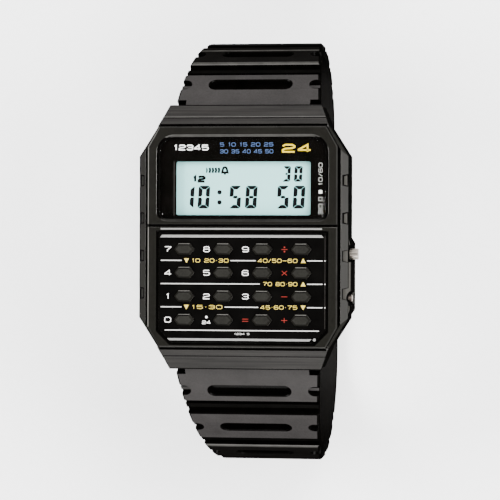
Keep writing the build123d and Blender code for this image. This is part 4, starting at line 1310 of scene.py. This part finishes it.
arrows = []
for x, number, way in arrow_places:
    foot = line_band(number, way * arrow_foot)[0]
    point = line_band(number, way * arrow_half)[1]
    arrows.append([(x - arrow_half, foot), (x + arrow_half, foot), (x, point)])
film_piece("keypad_arrows", yellow_ink, on_plate, arrows)
mark_rows = [
    (words, left, right, *line_band(number, mark_half)) for words, left, right, number in mark_places
]
pen_piece("keypad_marks", yellow_ink, on_plate, mark_rows, pen=0.075)
pen_piece("keypad_foot_mark", line_ink, on_plate, [("1234 5", -1.25, 1.2, -15.86, -15.6)], pen=0.05)

# %% [markdown]
# ## The bright trims
#
# Two slim trims close the keypad, one under its upper edge and one over its lower edge. Each is a bar
# with mitred ends: a strip that is extruded and then bevelled along its top, so that it carries a
# highlight from whichever side the light comes. Their silver stands partly for real trim and partly for
# a painted highlight on the frame's bevels. A small silver disc just past the lower one's end is a
# painted glint.

# %% Trims
trim_height = 0.16 * mm
trim_softness = 0.06
trim_mitre = 0.35
glint_disc = (11.85, -16.6, 0.24, round_corners)


def add_trim(name, left, right, low, high, low_mitre=0.0, high_mitre=0.0):
    """A raised bright bar with mitred ends."""
    corners = [(left + low_mitre, low), (right - low_mitre, low)]
    corners += [(right - high_mitre, high), (left + high_mitre, high)]
    bm = bmesh.new()
    bm.faces.new(put_points(bm, corners, plate_top))
    raise_faces(bm, trim_height)
    top_edges = [e for e in bm.edges if all(v.co.z > plate_top + trim_height / 2 for v in e.verts)]
    bevel(bm, top_edges, trim_softness)
    bmesh.ops.recalc_face_normals(bm, faces=bm.faces)
    for face in bm.faces:
        face.smooth = True
    keep_flats(finished_piece(bm, name, "case", "plate_black", silver_and_painted_highlight))


add_trim("upper_trim", -13.58, 13.3, -0.08, 0.34, high_mitre=trim_mitre)
add_trim("lower_trim", -12.35, 11.4, -16.84, -16.48, low_mitre=trim_mitre)
# Painted glint: a small silver disc beside the lower trim's end.
film_piece("trim_painted_glint", silver_and_painted_highlight, on_plate, discs=[glint_disc])

# %% [markdown]
# ## Steel
#
# The case back, buckle and tongue are brushed, so their grain is stretched along one direction. The
# pushers are turned, and the small one is dull. Brushing shows as fine lines in the roughness and in
# the bump, and only barely in the colour.

# %% Steel finishes
def brushed(name, colour, lighter, along, rough):
    """Brushed metal, its lines along the direction with the small scale."""
    mix = Recipe(name)
    lines = mix.grain(2600, 3.0, mix.stretched(*along))
    slow = mix.grain(150, 2.0)
    tone = (0.5 * lines + 0.5 * slow).clear(0.3, 0.7)
    rough += 0.18 * (lines - 0.5)
    bump = mix.bump(lines, 0.18, 0.02 * mm)
    return mix.finish(mix.toned(tone, colour, lighter, rough, bump, metallic=1.0))


even = (1, 1, 1)
back_steel = brushed("back_steel", (0.5, 0.49, 0.47), (0.62, 0.61, 0.59), (0.03, 1, 1), 0.34)
buckle_steel = brushed("buckle_steel", (0.52, 0.51, 0.49), (0.66, 0.65, 0.63), (0.04, 1, 1), 0.3)
bar_steel = brushed("bar_steel", (0.45, 0.44, 0.43), (0.6, 0.59, 0.57), (0.04, 1, 1), 0.28)
pusher_steel = brushed("pusher_steel", (0.3, 0.27, 0.235), (0.4, 0.365, 0.32), even, 0.32)
dull_steel = brushed("dull_steel", (0.13, 0.105, 0.09), (0.2, 0.165, 0.145), even, 0.42)
edge_steel = brushed("edge_steel", (0.66, 0.65, 0.63), (0.76, 0.75, 0.73), even, 0.2)
softened("case_back", 0.08, [back_steel, edge_steel])
softened("buckle_frame", 0.14, [buckle_steel, edge_steel], turn=20)
softened("buckle_tongue", 0.12, [buckle_steel, edge_steel])
softened("back_screws", 0.05, [bar_steel, edge_steel])
put_finish(pusher_steel, "mode_pusher")
put_finish(dull_steel, "adjust_pusher")
put_finish(bar_steel, "buckle_pin", "spring_bar_upper", "spring_bar_lower")

# %% [markdown]
# ## The movement
#
# Nothing in the movement shows until the watch is opened, but a part that is taken out is looked at
# too. Each inner part gets the finish of its own material.

# %% Movement finishes
frame_resin = gloss_resin("frame_resin", (0.03, 0.03, 0.032), (0.045, 0.045, 0.048), 0.02, 0.5)
board_mask = gloss_resin("board_mask", (0.01, 0.09, 0.035), (0.02, 0.13, 0.055), 0.03, 0.35)
chip_resin = gloss_resin("chip_resin", (0.002, 0.002, 0.002), (0.005, 0.005, 0.005), 0.04, 0.25)
dome_rubber = satin_resin("dome_rubber", (0.2, 0.2, 0.21), (0.26, 0.26, 0.27), 0.01, 0.7)
zebra_rubber = satin_resin("zebra_rubber", (0.02, 0.02, 0.02), (0.04, 0.04, 0.04), 0.01, 0.7)
seal_rubber = satin_resin("seal_rubber", (0.004, 0.004, 0.004), (0.009, 0.009, 0.009), 0.015, 0.6)
reflector_foil = brushed("reflector_foil", (0.66, 0.67, 0.68), (0.78, 0.79, 0.8), even, 0.3)
crystal_can = brushed("crystal_can", (0.6, 0.6, 0.61), (0.72, 0.72, 0.73), (1, 0.05, 1), 0.25)
cell_steel = brushed("cell_steel", (0.55, 0.55, 0.54), (0.66, 0.66, 0.65), even, 0.24)
buzzer_brass = brushed("buzzer_brass", (0.62, 0.44, 0.17), (0.74, 0.55, 0.24), even, 0.3)
spring_steel = brushed("spring_steel", (0.5, 0.5, 0.5), (0.62, 0.62, 0.62), even, 0.25)
put_finish(frame_resin, "module_frame", "battery_holder")
put_finish(board_mask, "circuit_board")
put_finish(chip_resin, "chip")
put_finish(dome_rubber, "contact_mat")
put_finish(zebra_rubber, "zebra_strips")
put_finish(seal_rubber, "back_gasket", "mode_pusher_seal", "adjust_pusher_seal")
put_finish(reflector_foil, "lcd_reflector")
put_finish(crystal_can, "quartz_crystal")
put_finish(cell_steel, "battery")
put_finish(buzzer_brass, "buzzer_disc")
springy = ["battery_clip", "side_contacts", "buzzer_spring", "mode_pusher_clip", "adjust_pusher_clip"]
put_finish(spring_steel, *springy)


def floor_material():
    """Pale paper with the faintest tooth."""
    mix = Recipe("pale_paper")
    colour = mix.blend(mix.grain(900, 2.0), (0.86, 0.86, 0.86), (0.9, 0.9, 0.9))
    return mix.finish(mix.surface(base_color=colour, roughness=0.9))


floor.data.materials.append(floor_material())

# %% [markdown]
# ## The pushers' return springs
#
# A spring stays in the case while its pusher slides in, so it gets shorter. A rigid copy would cut
# through the pusher's head. Here each spring becomes a smooth copy of its frame part in spring steel,
# with a mesh of its own.

# %% Return springs
for pusher in ("mode_pusher", "adjust_pusher"):
    name = pusher + "_spring"
    low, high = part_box(name)
    spring = smooth_piece(merged_copy(name), name, name + "_finished", spring_steel)
    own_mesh(spring)
bare = [n for n, o in nodes.items() if not o.hide_render and not o.data.materials[0].use_nodes]
print("nodes without a finish", bare)
